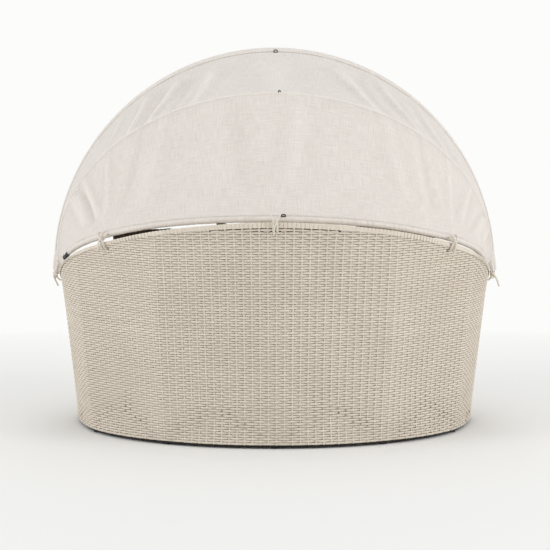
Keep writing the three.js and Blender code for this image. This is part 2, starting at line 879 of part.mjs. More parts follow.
function hood() {
  pocket("front_hoop_pocket", frontHoopRadius, frontHoopAngle);
  pocket("hem_pocket", hemHoopRadius, hemHoopAngle);
  const front = hoodPanel({
    radius: frontHoopRadius,
    angle: frontHoopAngle,
    towards: 1,
    sag: frontPanelSag,
    foldDepth: frontFoldDepth,
    foldCount: frontFoldCount,
  });
  addPiece("hood_front_panel", front, "hoodCloth");
  const rear = hoodPanel({
    radius: hemHoopRadius,
    angle: hemHoopAngle,
    towards: -1,
    sag: rearPanelSag,
    foldDepth: rearFoldDepth,
    foldCount: rearFoldCount,
  });
  addPiece("hood_rear_panel", rear, "hoodCloth");
}

// Small upright rings on the centre line of the hood, each standing on the cloth
function smallRing(name, radius, angle, wayRound, lift) {
  const half = ringSize / 2;
  const outer = [
    [-half, 0],
    [half, 0],
    [half, half],
    [half / 2, ringSize],
    [-half / 2, ringSize],
    [-half, half],
  ];
  const inner = insetLine(outer, ringBar, true);
  const ring = new THREE.ExtrudeGeometry(shapeOf(outer, inner), { depth: ringBar, bevelEnabled: false });
  ring.translate(0, 0, -ringBar / 2);
  ring.rotateX(degrees(angle + wayRound));
  const foot = nearHoop(radius, angle, Math.PI / 2, lift, wayRound);
  ring.translate(foot.x, foot.y, foot.z);
  addPiece(name, ring, "plastic");
}

// Ties: each is sewn to the hem pocket, knotted outside the rim and threaded through the weave

// The outer face of the rear wall in one direction from the middle, at a drop below the rim
function wallSpot(rimAngle, drop) {
  const angle = degrees(rimAngle);
  const facet = Math.min(Math.floor(angle / cornerAngle), halfCorners - 1);
  const line = wallLine((radius) => wallPlan(radius, armReach), 0, alongRim(drop));
  const from = line[facet + 1];
  const to = line[facet + 2];
  const direction = new THREE.Vector3(Math.cos(angle), Math.sin(angle), 0);
  const edge = new THREE.Vector3().subVectors(to, from);
  const share = (from.y * direction.x - from.x * direction.y) / (edge.x * direction.y - edge.y * direction.x);
  return new THREE.Vector3().addVectors(from, edge.multiplyScalar(share));
}

function tieSpot(tie) {
  const angle = degrees(tie.rimAngle);
  const outward = new THREE.Vector3(Math.cos(angle), Math.sin(angle), 0);
  const sideways = new THREE.Vector3(-outward.y, outward.x, 0);
  const edge = wallSpot(tie.rimAngle, 0);
  const hole = wallSpot(tie.rimAngle, tieHoleDrop);
  const knot = edge.clone().addScaledVector(outward, knotRadius + tie.out + seatedGap);
  knot.z -= tie.drop;
  const holes = [-1, 1].map((side) => hole.clone().addScaledVector(sideways, (side * tieHoleSpacing) / 2));
  return { outward, sideways, knot, holes };
}

function cordAlong(points, steps) {
  const curve = new THREE.CatmullRomCurve3(points, false, "centripetal");
  return new THREE.ExtrudeGeometry(shapeOf(polygon(tieDiameter / 2, tieSides)), {
    steps,
    extrudePath: curve,
    bevelEnabled: false,
  });
}

function tie(entry) {
  const { outward, sideways, knot, holes } = tieSpot(entry);
  const along = degrees(entry.hemAngle);
  const sewn = (distance, wayRound) => nearHoop(hemHoopRadius, hemHoopAngle, along, distance, wayRound);
  const start = sewn(pocketOuterRadius + seatedGap, -hemHoopAngle);
  const after = sewn(pocketOuterRadius + tieDiameter, -hemHoopAngle);
  const overRim = wallSpot(entry.rimAngle, -tieDiameter);
  const strand = cordAlong([start, after, overRim, knot], strandSteps);
  const behind = weaveThickness + tieDiameter / 2 + seatedGap;
  const inside = (point) => point.clone().addScaledVector(outward, -behind);
  const outside = (point) => point.clone().addScaledVector(outward, tieDiameter);
  const [a, b] = holes;
  const stitch = cordAlong([knot, outside(a), inside(a), inside(b), outside(b), knot], stitchSteps);
  const end = knot.clone().addScaledVector(sideways, entry.leanShare * tieTail);
  end.z -= tieTail;
  const bend = new THREE.Vector3().lerpVectors(knot, end, tieBendShare).addScaledVector(outward, tieDiameter);
  const tail = cordAlong([knot, bend, end], tailSteps);
  const lump = new THREE.SphereGeometry(knotRadius, knotSegments, knotSegments / 2 + 1);
  lump.translate(knot.x, knot.y, knot.z);
  addPiece(entry.name, join([lump, strand, stitch, tail]), "cord");
}

// Cushions: a crowned top, rounded edges, and sides drawn in between the corners

function drawnOutline(corners, drawIn) {
  const points = [];
  corners.forEach(([ax, ay], i) => {
    const [bx, by] = corners[(i + 1) % corners.length];
    const length = Math.hypot(bx - ax, by - ay);
    for (let step = 0; step < cushionSideSteps; step += 1) {
      const share = step / cushionSideSteps;
      const pull = drawIn * Math.sin(Math.PI * share);
      points.push([
        ax + (bx - ax) * share - ((by - ay) / length) * pull,
        ay + (by - ay) * share + ((bx - ax) / length) * pull,
      ]);
    }
  });
  return points;
}

function seatCushion(name, corners) {
  const outline = drawnOutline(corners, cushionDrawIn);
  const middle = middleOf(outline.map(([x, y]) => new THREE.Vector3(x, y, 0)));
  const foot = seatHeight + seatedGap;
  const thickness = seatCushionThickness;
  const crown = seatCushionCrown;
  const ring = (inset, z, towardsMiddle = 0) => outline.map(([x, y]) => {
    const distance = Math.hypot(x - middle.x, y - middle.y);
    const share = 1 - (inset / distance) - towardsMiddle;
    return new THREE.Vector3(middle.x + (x - middle.x) * share, middle.y + (y - middle.y) * share, foot + z);
  });
  const round = cushionEdgeRadius;
  const edge = cushionEdgeShares.map(({ inset, rise }) => [inset * round, rise * round]);
  const rings = [
    ...edge.map(([inset, rise]) => ring(inset, rise)),
    ...edge.reverse().map(([inset, rise]) => ring(inset, thickness - rise)),
    ring(crownShares.shoulderInset * round, thickness + crown * crownShares.shoulderRise),
    ring(0, thickness + crown * crownShares.middleRise, crownShares.middleInset),
  ];
  const low = new THREE.Vector3(middle.x, middle.y, foot);
  const high = new THREE.Vector3(middle.x, middle.y, foot + thickness + crown);
  addPiece(name, ringBody(rings, low, high), "cushionCloth");
}

// A pillow is fat in the middle, thin at the edge, and its sides are drawn in between the corners
function pillow({ name, turn, lift }) {
  const face = (side) => {
    const grid = [];
    for (let row = 0; row <= pillowSteps; row += 1) {
      const line = [];
      for (let column = 0; column <= pillowSteps; column += 1) {
        const u = (2 * column) / pillowSteps - 1;
        const v = (2 * row) / pillowSteps - 1;
        const fat = ((1 - u ** pillowEdgePower) * (1 - v ** pillowEdgePower)) ** pillowFatPower;
        const half = pillowEdge / 2 + (pillowThickness / 2 - pillowEdge / 2) * fat;
        line.push(new THREE.Vector3(
          u * (pillowWidth / 2 - pillowDrawIn * (1 - v * v)),
          side * half,
          v * (pillowHeight / 2 - pillowDrawIn * (1 - u * u)),
        ));
      }
      grid.push(line);
    }
    return grid;
  };
  const body = sheetBetween(face(1), face(-1));
  body.rotateX(-degrees(pillowLean));
  const mesh = addPiece(name, body, "pillowCloth");
  mesh.rotation.z = degrees(turn);
  const seat = seatHeight + seatCushionThickness + lift;
  const rise = (pillowHeight / 2) * Math.cos(degrees(pillowLean));
  const away = degrees(turn);
  mesh.position.set(-pillowDistance * Math.sin(away), pillowDistance * Math.cos(away), seat + rise);
}

function softPieces() {
  seatCushion("rear_seat_cushion", rearOutline(wallDepth + softGap, 0, seatHeight));
  seatCushion("front_seat_cushion", frontOutline(softGap / 2, seatHeight));
  pillows.forEach(pillow);
}

rearFrame();
rearSkins();
frontHalf();
glides();
hoop("front_hoop", frontHoopRadius, frontHoopAngle);
hoop("middle_hoop", middleHoopRadius, middleHoopAngle);
hoop("hem_hoop", hemHoopRadius, hemHoopAngle);
hinges();
hood();
ties.forEach(tie);
const onPocket = pocketOuterRadius + seatedGap;
const onRidge = tubeRadius + ridgeRise + clothThickness + seatedGap;
smallRing("ring_front", frontHoopRadius, frontHoopAngle, frontRingTurn, onPocket);
smallRing("ring_ridge", middleHoopRadius, middleHoopAngle, 0, onRidge);
smallRing("ring_hem", hemHoopRadius, hemHoopAngle, hemRingTurn, onPocket);
softPieces();

export default daybed;
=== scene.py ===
"""Looks of the round outdoor daybed: a woven tub in two halves, a folding cloth hood, cushions and pillows.

Lengths are metres in the frame of the CAD model: +Z is up, the back of the tub is at +Y, and the hoops
of the hood swing about a line along X above the arms.
"""

import logging  # noqa: E402
import math  # noqa: E402
from dataclasses import dataclass, field  # noqa: E402
from enum import Enum  # noqa: E402
from typing import Callable, Sequence  # noqa: E402

import bmesh  # noqa: E402
import bpy  # noqa: E402
import numpy as np  # noqa: E402
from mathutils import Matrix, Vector  # noqa: E402


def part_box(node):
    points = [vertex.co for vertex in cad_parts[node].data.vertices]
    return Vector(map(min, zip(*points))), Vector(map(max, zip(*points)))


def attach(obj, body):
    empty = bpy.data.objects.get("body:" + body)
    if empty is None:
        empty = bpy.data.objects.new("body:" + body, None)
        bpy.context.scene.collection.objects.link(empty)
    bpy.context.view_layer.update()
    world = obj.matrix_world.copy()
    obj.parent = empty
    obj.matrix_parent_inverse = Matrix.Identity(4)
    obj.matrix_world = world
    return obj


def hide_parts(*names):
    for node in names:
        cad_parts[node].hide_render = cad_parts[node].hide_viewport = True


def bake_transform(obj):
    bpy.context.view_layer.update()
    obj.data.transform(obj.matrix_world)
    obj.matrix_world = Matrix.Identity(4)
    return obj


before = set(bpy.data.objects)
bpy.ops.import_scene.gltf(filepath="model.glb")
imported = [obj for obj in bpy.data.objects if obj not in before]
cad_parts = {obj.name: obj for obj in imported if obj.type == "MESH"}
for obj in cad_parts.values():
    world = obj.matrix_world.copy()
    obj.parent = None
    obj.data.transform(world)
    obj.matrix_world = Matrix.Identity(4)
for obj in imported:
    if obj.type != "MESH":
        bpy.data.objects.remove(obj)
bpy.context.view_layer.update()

log = logging.getLogger("daybed")
logging.basicConfig(level=logging.INFO, format="%(message)s")

Colour = tuple[float, float, float]
Faces = list[tuple[int, ...]]
Line = dict[str, np.ndarray]
Piece = bpy.types.Object
Socket = bpy.types.NodeSocket
UP = np.array([0, 0, 1.0])


class Body(str, Enum):
    """The moving bodies of the CAD model."""

    REAR = "rear_half"
    MIDDLE_HOOP = "middle_hoop"
    FRONT_HOOP = "front_hoop"
    FRONT = "front_half"
    REAR_CUSHION = "rear_cushion"
    FRONT_CUSHION = "front_cushion"
    LEFT_PILLOW = "left_pillow"
    MIDDLE_PILLOW = "middle_pillow"
    RIGHT_PILLOW = "right_pillow"


class Slot(str, Enum):
    """The material slots of the record."""

    WICKER = "wicker"
    PAINT = "dark_paint"
    BOARD = "board"
    PLASTIC = "plastic"
    STEEL = "steel"
    HOOD = "hood_cloth"
    CORD = "cord"
    CUSHION = "cushion_cloth"
    PILLOW = "pillow_cloth"


# Plain geometry


def unit(vectors: np.ndarray) -> np.ndarray:
    """Vectors of length one, in an array whose last axis holds x, y and z."""
    return vectors / np.maximum(np.linalg.norm(vectors, axis=-1, keepdims=True), 1e-12)


def smooth_step(values: np.ndarray, low: float, high: float) -> np.ndarray:
    """An even rise from 0 at low to 1 at high."""
    t = np.clip((np.asarray(values, float) - low) / (high - low), 0, 1)
    return t * t * (3 - 2 * t)


def spline(points: Sequence[Sequence[float]], per_span: int = 8) -> np.ndarray:
    """A smooth line through given points, with its knots spaced by the root of the distance.

    Args:
        points: The points that the line passes through.
        per_span: How many steps each span between two points gets.

    Returns:
        The line's points, one row each.
    """
    p = np.array(points, float)
    p = np.vstack([2 * p[0] - p[1], p, 2 * p[-1] - p[-2]])
    line = [p[1]]
    for a, b, c, d in zip(p, p[1:], p[2:], p[3:]):
        t0 = 0.0
        t1, t2, t3 = t0 + np.cumsum([max(np.linalg.norm(v), 1e-9) ** 0.5 for v in (b - a, c - b, d - c)])
        for step in range(1, per_span + 1):
            t = t1 + (t2 - t1) * step / per_span
            ab = (a * (t1 - t) + b * (t - t0)) / (t1 - t0)
            bc = (b * (t2 - t) + c * (t - t1)) / (t2 - t1)
            cd = (c * (t3 - t) + d * (t - t2)) / (t3 - t2)
            abc = (ab * (t2 - t) + bc * (t - t0)) / (t2 - t0)
            bcd = (bc * (t3 - t) + cd * (t - t1)) / (t3 - t1)
            line.append((abc * (t2 - t) + bcd * (t - t1)) / (t2 - t1))
    return np.array(line)


def steps_along(line: np.ndarray) -> np.ndarray:
    """The way along a line to each of its points."""
    return np.concatenate([[0], np.cumsum(np.linalg.norm(np.diff(line, axis=0), axis=1))])


def circle(radius: float, sides: int) -> np.ndarray:
    """A round cross-section, one row for each corner."""
    turn = 2 * np.pi * np.arange(sides) / sides
    return radius * np.column_stack([np.cos(turn), np.sin(turn)])


def facing_out(ahead: np.ndarray) -> np.ndarray:
    """The level directions to the right of given ways ahead."""
    return np.column_stack([ahead[:, 1], -ahead[:, 0], np.zeros(len(ahead))])


def ring_faces(rings: int, sides: int, closed: bool = False, capped: bool = True) -> Faces:
    """Faces between rings of points that are numbered ring by ring.

    Args:
        rings: How many rings there are.
        sides: How many points each ring has.
        closed: Whether the last ring joins the first.
        capped: Whether an open row of rings gets a flat face at both ends.

    Returns:
        The faces.
    """
    faces = []
    for i in range(rings if closed else rings - 1):
        a, b = i * sides, (i + 1) % rings * sides
        faces += [(a + k, a + (k + 1) % sides, b + (k + 1) % sides, b + k) for k in range(sides)]
    if capped and not closed:
        faces.append(tuple(range(sides - 1, -1, -1)))
        faces.append(tuple((rings - 1) * sides + k for k in range(sides)))
    return faces


def mend(mesh: bpy.types.Mesh, merge: float = 0.0, outward: bool = True) -> None:
    """Merges the doubles of a mesh and turns its faces outwards.

    Args:
        mesh: The mesh, changed in place.
        merge: The distance under which two points become one. At 0 none do.
        outward: Whether the faces are turned.
    """
    work = bmesh.new()
    work.from_mesh(mesh)
    if merge:
        bmesh.ops.remove_doubles(work, verts=work.verts, dist=merge)
    if outward:
        bmesh.ops.recalc_face_normals(work, faces=work.faces)
    work.to_mesh(mesh)
    work.free()


def placed(name: str, data: bpy.types.ID) -> Piece:
    """A new object in the scene, at the origin."""
    piece = bpy.data.objects.new(name, data)
    bpy.context.scene.collection.objects.link(piece)
    return piece


@dataclass
class Shell:
    """Points and faces on their way to becoming a mesh."""

    points: list[np.ndarray] = field(default_factory=list)
    faces: Faces = field(default_factory=list)
    uvs: list[tuple[float, float]] = field(default_factory=list)

    def add(self, points: np.ndarray, faces: Sequence[Sequence[int]]) -> None:
        """Adds a part, with its face numbers counted from its own first point.

        Args:
            points: The part's points, one row each.
            faces: The part's faces.
        """
        first = sum(len(part) for part in self.points)
        self.points.append(np.asarray(points, float))
        self.faces.extend(tuple(first + int(i) for i in face) for face in faces)

    def sweep(
        self, path: np.ndarray, profile: np.ndarray, across: np.ndarray | None = None, closed: bool = False
    ) -> None:
        """Adds a closed body with one cross-section carried along a path.

        Args:
            path: The points of the path.
            profile: The cross-section, as steps along across and along the third direction.
            across: The cross-section's first direction at each point. Without it, the direction is
                carried along the path with as little twist as possible.
            closed: Whether the path joins its own start.
        """
        before = np.roll(path, 1, axis=0) if closed else np.vstack([path[:1], path[:-1]])
        after = np.roll(path, -1, axis=0) if closed else np.vstack([path[1:], path[-1:]])
        tangent = unit(after - before)
        if across is None:
            across = carried(tangent)
        across = unit(across - (across * tangent).sum(1)[:, None] * tangent)
        third = np.cross(tangent, across)
        rings = path[:, None] + across[:, None] * profile[:, :1] + third[:, None] * profile[:, 1:]
        self.add(rings.reshape(-1, 3), ring_faces(len(path), len(profile), closed))

    def lathe(
        self, profile: Sequence[tuple[float, float]], start: np.ndarray, axis: np.ndarray, sides: int
    ) -> None:
        """Adds a turned body.

        Args:
            profile: Radius and distance along the axis, from one end to the other.
            start: The point that distances are measured from.
            axis: The direction of the axis.
            sides: How many faces go round.
        """
        slanting = (0.31, 0.95, 0.07)
        axis = unit(np.asarray(axis, float))
        side = unit(np.cross(axis, slanting))
        steps = circle(1.0, sides)
        ring = steps[:, :1] * side + steps[:, 1:] * np.cross(axis, side)
        points = [start + r * ring + h * axis for r, h in profile]
        self.add(np.vstack(points), ring_faces(len(profile), sides))

    def grid(self, points: np.ndarray, uvs: np.ndarray | None = None) -> None:
        """Adds an open sheet from rows of points.

        Args:
            points: The points as rows, columns and x, y, z.
            uvs: Texture places as rows, columns and u, v.
        """
        rows, columns = points.shape[:2]
        faces = [
            (k, k + 1, k + columns + 1, k + columns)
            for r in range(rows - 1) for k in range(r * columns, (r + 1) * columns - 1)
        ]
        if uvs is not None:
            self.uvs.extend(tuple(uvs.reshape(-1, 2)[k]) for face in faces for k in face)
        self.add(points.reshape(-1, 3), faces)

    def made(self, name: str, outward: bool = True, sharp: float | None = None) -> Piece:
        """Makes the mesh and its object.

        Args:
            name: The piece's name.
            outward: Whether the faces of closed bodies are turned outwards.
            sharp: The angle in degrees above which an edge stays sharp. Without it all is smooth.

        Returns:
            The object, at the origin.
        """
        mesh = bpy.data.meshes.new(name)
        mesh.from_pydata(np.vstack(self.points).tolist(), [], self.faces)
        if self.uvs:
            layer = mesh.uv_layers.new(name="UVMap")
            layer.data.foreach_set("uv", np.array(self.uvs, np.float32).ravel())
        if outward:
            mend(mesh)
        mesh.shade_smooth()
        if sharp is not None:
            mesh.set_sharp_from_angle(angle=math.radians(sharp))
        mesh.update()
        return placed(name, mesh)


def carried(tangent: np.ndarray) -> np.ndarray:
    """A direction square to a path at each point, carried along it with as little twist as possible.

    Args:
        tangent: The way ahead at each point.

    Returns:
        The directions, one row each.
    """
    nearly_upright = 0.05
    first = np.cross(tangent[0], UP)
    if np.linalg.norm(first) < nearly_upright:
        first = np.cross(tangent[0], [1.0, 0, 0])
    out = [unit(first)]
    for t in tangent[1:]:
        out.append(unit(out[-1] - (out[-1] @ t) * t))
    return np.array(out)


def dress(
    piece: Piece, finish: "Finish", body: Body | None, replaces: Sequence[str] = ()
) -> Piece:
    """Gives a piece its material and its body, and reports it.

    Args:
        piece: The piece.
        finish: Its finish.
        body: The body that it rides on, or None where it is blended afterwards.
        replaces: The CAD nodes that it stands for.

    Returns:
        The piece.
    """
    piece.data.materials.clear()
    piece.data.materials.append(finish.material())
    if body is not None:
        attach(piece, body.value)
    if replaces:
        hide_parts(*replaces)
    log.info("piece %s: %d faces", piece.name, len(piece.data.polygons))
    return piece


# Shader and geometry node trees


class NodeBoard:
    """Places and joins nodes in a tree."""

    def __init__(self, tree: bpy.types.NodeTree) -> None:
        """Starts on an empty tree."""
        self.tree = tree
        tree.nodes.clear()

    def into(self, node: bpy.types.Node, **inputs: object) -> None:
        """Feeds a node's inputs.

        Args:
            node: The node.
            **inputs: Values or sockets, by the input's name with _ for a space, or i0, i1 by number.
        """
        for name, value in inputs.items():
            by_number = name[0] == "i" and name[1:].isdigit()
            socket = node.inputs[int(name[1:]) if by_number else name.replace("_", " ")]
            if isinstance(value, Socket):
                self.tree.links.new(value, socket)
            elif value is not None:
                socket.default_value = value

    def node(self, kind: str, settings: dict | None = None, **inputs: object) -> bpy.types.Node:
        """Adds a node.

        Args:
            kind: The node's type.
            settings: Its own settings by name.
            **inputs: What into takes.

        Returns:
            The node.
        """
        node = self.tree.nodes.new(kind)
        for name, value in (settings or {}).items():
            setattr(node, name, value)
        self.into(node, **inputs)
        return node

    def value(self, kind: str, settings: dict | None = None, **inputs: object) -> Socket:
        """The first output of a new node."""
        return self.node(kind, settings, **inputs).outputs[0]

    def math(self, operation: str, *values: object) -> Socket:
        """The result of a Math node."""
        inputs = {f"i{k}": value for k, value in enumerate(values)}
        return self.value("ShaderNodeMath", {"operation": operation}, **inputs)

    def mix(self, share: object, low: object, high: object) -> Socket:
        """A mix of two colours."""
        node = self.node("ShaderNodeMix", {"data_type": "RGBA"}, i0=share, i6=rgba(low), i7=rgba(high))
        return node.outputs[2]

    def spread(self, value: object, low: float, high: float, to_low: float = 0, to_high: float = 1) -> Socket:
        """A value mapped from one range to another, and kept inside it."""
        ends = {"From_Min": low, "From_Max": high, "To_Min": to_low, "To_Max": to_high}
        return self.value("ShaderNodeMapRange", Value=value, **ends)

    def noise(self, place: object, scale: float, detail: float = 2, rough: float = 0.5) -> Socket:
        """The value of a Noise texture."""
        return self.value("ShaderNodeTexNoise", Vector=place, Scale=scale, Detail=detail, Roughness=rough)

    def stretch(self, place: object, scale: tuple[float, float, float]) -> Socket:
        """A place scaled by its three directions."""
        return self.value("ShaderNodeMapping", Vector=place, Scale=scale)

    def group(self, tree: bpy.types.NodeTree, **inputs: object) -> bpy.types.Node:
        """A shared group with its own values."""
        return self.node("ShaderNodeGroup", {"node_tree": tree}, **inputs)

    def place(self, kind: str = "Object") -> Socket:
        """The place on the piece, in Object coordinates or its UV map."""
        return self.node("ShaderNodeTexCoord").outputs[kind]

    def attribute(self, name: str) -> Socket:
        """The value of a point attribute, for a shader."""
        return self.node("ShaderNodeAttribute", {"attribute_name": name}).outputs["Fac"]

    def named(self, name: str, kind: str = "FLOAT") -> Socket:
        """The value of a point attribute, for Geometry Nodes."""
        return self.value("GeometryNodeInputNamedAttribute", {"data_type": kind}, Name=name)

    def swept(self, curve: Socket, given: dict[str, Socket], corners: int, spin: float = 0.0) -> Socket:
        """Curves swept with an oval outline.

        Args:
            curve: The curves.
            given: The tree's input sockets, with Width and Height.
            corners: How many corners the outline has.
            spin: How far it is turned before it gets its width and height.

        Returns:
            The closed bodies.
        """
        outline = self.value("GeometryNodeCurvePrimitiveCircle", Resolution=corners, Radius=0.5)
        spun = self.value("GeometryNodeTransform", Geometry=outline, Rotation=(0, 0, spin))
        size = self.value("ShaderNodeCombineXYZ", X=given["Width"], Y=given["Height"], Z=1.0)
        sized = self.value("GeometryNodeTransform", Geometry=spun, Scale=size)
        return self.value("GeometryNodeCurveToMesh", Curve=curve, Profile_Curve=sized, Fill_Caps=True)


def board_of(holder: bpy.types.Material | bpy.types.World) -> NodeBoard:
    """The empty board of a new material or world."""
    holder.use_nodes = True
    return NodeBoard(holder.node_tree)


def rgba(colour: object) -> object:
    """A colour with its fourth number, or the socket that was given."""
    return (*colour, 1.0) if isinstance(colour, tuple) and len(colour) == 3 else colour


def linear(red: int, green: int, blue: int) -> Colour:
    """A screen colour from 0 to 255 as the linear numbers that a shader takes."""
    shares = (red / 255, green / 255, blue / 255)
    return tuple(s / 12.92 if s <= 0.04045 else ((s + 0.055) / 1.055) ** 2.4 for s in shares)


def shader_group(
    name: str, inputs: dict[str, tuple[str, object]], build: Callable[[NodeBoard, dict], dict]
) -> bpy.types.NodeTree:
    """A shader node group that puts out numbers, built once.

    Args:
        name: The group's name.
        inputs: Socket kind and default by name.
        build: Gets the board and the input sockets, and returns the output sockets by name.

    Returns:
        The group.
    """
    found = bpy.data.node_groups.get(name)
    if found:
        return found
    tree = bpy.data.node_groups.new(name, "ShaderNodeTree")
    board = NodeBoard(tree)
    for label, (kind, default) in inputs.items():
        socket = tree.interface.new_socket(name=label, in_out="INPUT", socket_type=f"NodeSocket{kind}")
        if default is not None:
            socket.default_value = default
    entry = board.node("NodeGroupInput")
    results = build(board, {label: entry.outputs[label] for label in inputs})
    for label in results:
        tree.interface.new_socket(name=label, in_out="OUTPUT", socket_type="NodeSocketFloat")
    board.node("NodeGroupOutput", **results)
    return tree


def grain_group() -> bpy.types.NodeTree:
    """A fine grain with broad patches, for any solid surface."""

    def build(board: NodeBoard, given: dict) -> dict:
        """Joins the nodes."""
        fine = board.value("ShaderNodeTexNoise", Vector=given["Place"], Scale=given["Scale"], Detail=4.0)
        broad = board.noise(given["Place"], 6.0, 3)
        return {"Fine": fine, "Patches": board.spread(broad, 0.35, 0.65)}

    return shader_group("surface_grain", {"Place": ("Vector", None), "Scale": ("Float", 400.0)}, build)


def threads_group() -> bpy.types.NodeTree:
    """Crossing threads with uneven yarn, from a place in metres on the cloth."""

    def build(board: NodeBoard, given: dict) -> dict:
        """Joins the nodes."""
        parts = board.node("ShaderNodeSeparateXYZ", Vector=given["Place"]).outputs
        turns = board.math("DIVIDE", 2 * math.pi, given["Pitch"])
        waves = [board.math("SINE", board.math("MULTIPLY", part, turns)) for part in (parts[0], parts[1])]
        weave = board.math("MULTIPLY", *waves)
        ways = ((16, 330, 1), (330, 16, 1))
        yarns = [board.noise(board.stretch(given["Place"], way), 1.0, 3, 0.7) for way in ways]
        slub = board.math("ADD", *yarns)
        height = board.math("ADD", board.math("MULTIPLY", weave, 0.5), board.math("MULTIPLY", slub, 0.8))
        return {"Height": height, "Slub": board.spread(slub, 0.75, 1.25)}

    return shader_group("crossing_threads", {"Place": ("Vector", None), "Pitch": ("Float", 0.0012)}, build)


def scuff_group() -> bpy.types.NodeTree:
    """Thin scuffs and dust, as masks."""

    def build(board: NodeBoard, given: dict) -> dict:
        """Joins the nodes."""
        streaks = board.noise(board.stretch(given["Place"], (14, 60, 25)), 1.0, 5, 0.7)
        dust = board.noise(given["Place"], 35.0, 4, 0.65)
        return {"Scuffs": board.spread(streaks, 0.62, 0.7), "Dust": board.spread(dust, 0.45, 0.8)}

    return shader_group("scuffs_and_dust", {"Place": ("Vector", None)}, build)


@dataclass(frozen=True)
class Finish:
    """What every finish has: a name, a colour and how rough it is."""

    name: str
    colour: Colour
    roughness: float = 0.7

    def material(self) -> bpy.types.Material:
        """The material, built on first use.

        Returns:
            The material.
        """
        found = bpy.data.materials.get(self.name)
        if found:
            return found
        fresh = bpy.data.materials.new(self.name)
        board = board_of(fresh)
        shader = board.node("ShaderNodeBsdfPrincipled", Roughness=self.roughness)
        board.node("ShaderNodeOutputMaterial", Surface=shader.outputs[0])
        self.paint(board, shader)
        return fresh

    def paint(self, board: NodeBoard, shader: bpy.types.Node) -> None:
        """Feeds the shader. Each kind of finish has its own way.

        Args:
            board: The material's board.
            shader: The Principled shader.
        """
        board.into(shader, Base_Color=rgba(self.colour))

    def bump(self, board: NodeBoard, shader: bpy.types.Node, height: object, depth: float) -> None:
        """Feeds the shader's normal from a height.

        Args:
            board: The tree.
            shader: The Principled shader.
            height: A socket from 0 to 1.
            depth: What 1 stands for, in metres.
        """
        normal = board.value("ShaderNodeBump", Height=height, Strength=0.6, Distance=depth)
        board.into(shader, Normal=normal)


@dataclass(frozen=True)
class WovenResin(Finish):
    """Flat strips of resin wicker, with a fine grain along each strand."""

    light: Colour = (0.7, 0.65, 0.55)
    dusty_share: float = 0.86

    def paint(self, board: NodeBoard, shader: bpy.types.Node) -> None:
        """A tone for each strand, streaks along it and faint dust."""
        tone, along = board.attribute("strand_tone"), board.attribute("strand_along")
        spot = board.value(
            "ShaderNodeCombineXYZ", X=board.math("MULTIPLY", along, 0.6), Y=board.math("MULTIPLY", tone, 90.0)
        )
        streak = board.noise(spot, 5.0, 3, 0.6)
        grain = board.group(grain_group(), Place=board.place(), Scale=900.0)
        share = board.math("ADD", board.math("MULTIPLY", tone, 0.4), board.math("MULTIPLY", streak, 0.6))
        plain = board.mix(share, self.colour, self.light)
        dusty = tuple(self.dusty_share * c for c in self.colour)
        board.into(
            shader,
            Base_Color=board.mix(board.math("MULTIPLY", grain.outputs["Patches"], 0.25), plain, dusty),
            Roughness=board.spread(streak, 0.2, 0.8, self.roughness - 0.1, self.roughness + 0.1),
        )
        fine = board.math("MULTIPLY", grain.outputs["Fine"], 0.4)
        self.bump(board, shader, board.math("ADD", streak, fine), 0.0006)


# The point attribute that carries the hood's painted fold and ridge light and shade.
FOLD_SHADE = "painted_fold_shade"


@dataclass(frozen=True)
class Cloth(Finish):
    """Woven cloth, with its threads along the piece's own UV map or its Object coordinates."""

    light: Colour = (0.8, 0.8, 0.8)
    pitch: float = 0.0012
    mapped: bool = True
    sheen: float = 0.15
    slub_share: float = 0.5
    # How strongly the painted fold and ridge light and shade change the cloth's colour.
    fold_shade_share: float = 0.42

    def paint(self, board: NodeBoard, shader: bpy.types.Node) -> None:
        """Crossing threads with slubs, broad fading and the painted light and shade of the folds and the ridge.
        """
        place = board.place("UV" if self.mapped else "Object")
        threads = board.group(threads_group(), Place=place, Pitch=self.pitch).outputs
        fade = board.noise(board.place(), 5.0, 3, 0.55)
        slubs = board.math("MULTIPLY", threads["Slub"], self.slub_share)
        share = board.math("ADD", slubs, board.math("MULTIPLY", fade, 1 - self.slub_share))
        # Painted light and shade: paler on fold crests and before the ridge, darker on flanks and behind it.
        share = board.math("ADD", share, board.math("MULTIPLY", board.attribute(FOLD_SHADE), self.fold_shade_share))
        board.into(
            shader, Base_Color=board.mix(share, self.colour, self.light), Sheen_Weight=self.sheen,
            Sheen_Roughness=0.6, Specular_IOR_Level=0.2,
            Roughness=board.spread(fade, 0.2, 0.8, self.roughness - 0.06, self.roughness + 0.06),
        )
        self.bump(board, shader, threads["Height"], 0.0005)


@dataclass(frozen=True)
class Coated(Finish):
    """Painted or moulded surfaces and metal, with scuffs that show a second colour."""

    scuffed: Colour = (0.2, 0.2, 0.2)
    metallic: float = 0.0
    peel: float = 300.0

    def paint(self, board: NodeBoard, shader: bpy.types.Node) -> None:
        """Orange peel, scuffs and dust."""
        grain = board.group(grain_group(), Place=board.place(), Scale=self.peel)
        worn = board.group(scuff_group(), Place=board.place()).outputs
        mask = board.math("MULTIPLY", worn["Scuffs"], 0.5)
        board.into(
            shader, Base_Color=board.mix(mask, self.colour, self.scuffed), Metallic=self.metallic,
            Roughness=board.spread(worn["Dust"], 0, 1, self.roughness, min(1, self.roughness + 0.25)),
        )
        self.bump(board, shader, grain.outputs["Fine"], 0.0002)


@dataclass(frozen=True)
class Board(Finish):
    """Planks with grain along X."""

    dark: Colour = (0.02, 0.018, 0.015)

    def paint(self, board: NodeBoard, shader: bpy.types.Node) -> None:
        """Long grain and dust."""
        grain = board.noise(board.stretch(board.place(), (3, 60, 60)), 1.0, 6, 0.6)
        dust = board.group(scuff_group(), Place=board.place()).outputs["Dust"]
        share = board.math("ADD", board.math("MULTIPLY", grain, 0.8), board.math("MULTIPLY", dust, 0.2))
        board.into(shader, Base_Color=board.mix(share, self.dark, self.colour))
        self.bump(board, shader, grain, 0.0006)


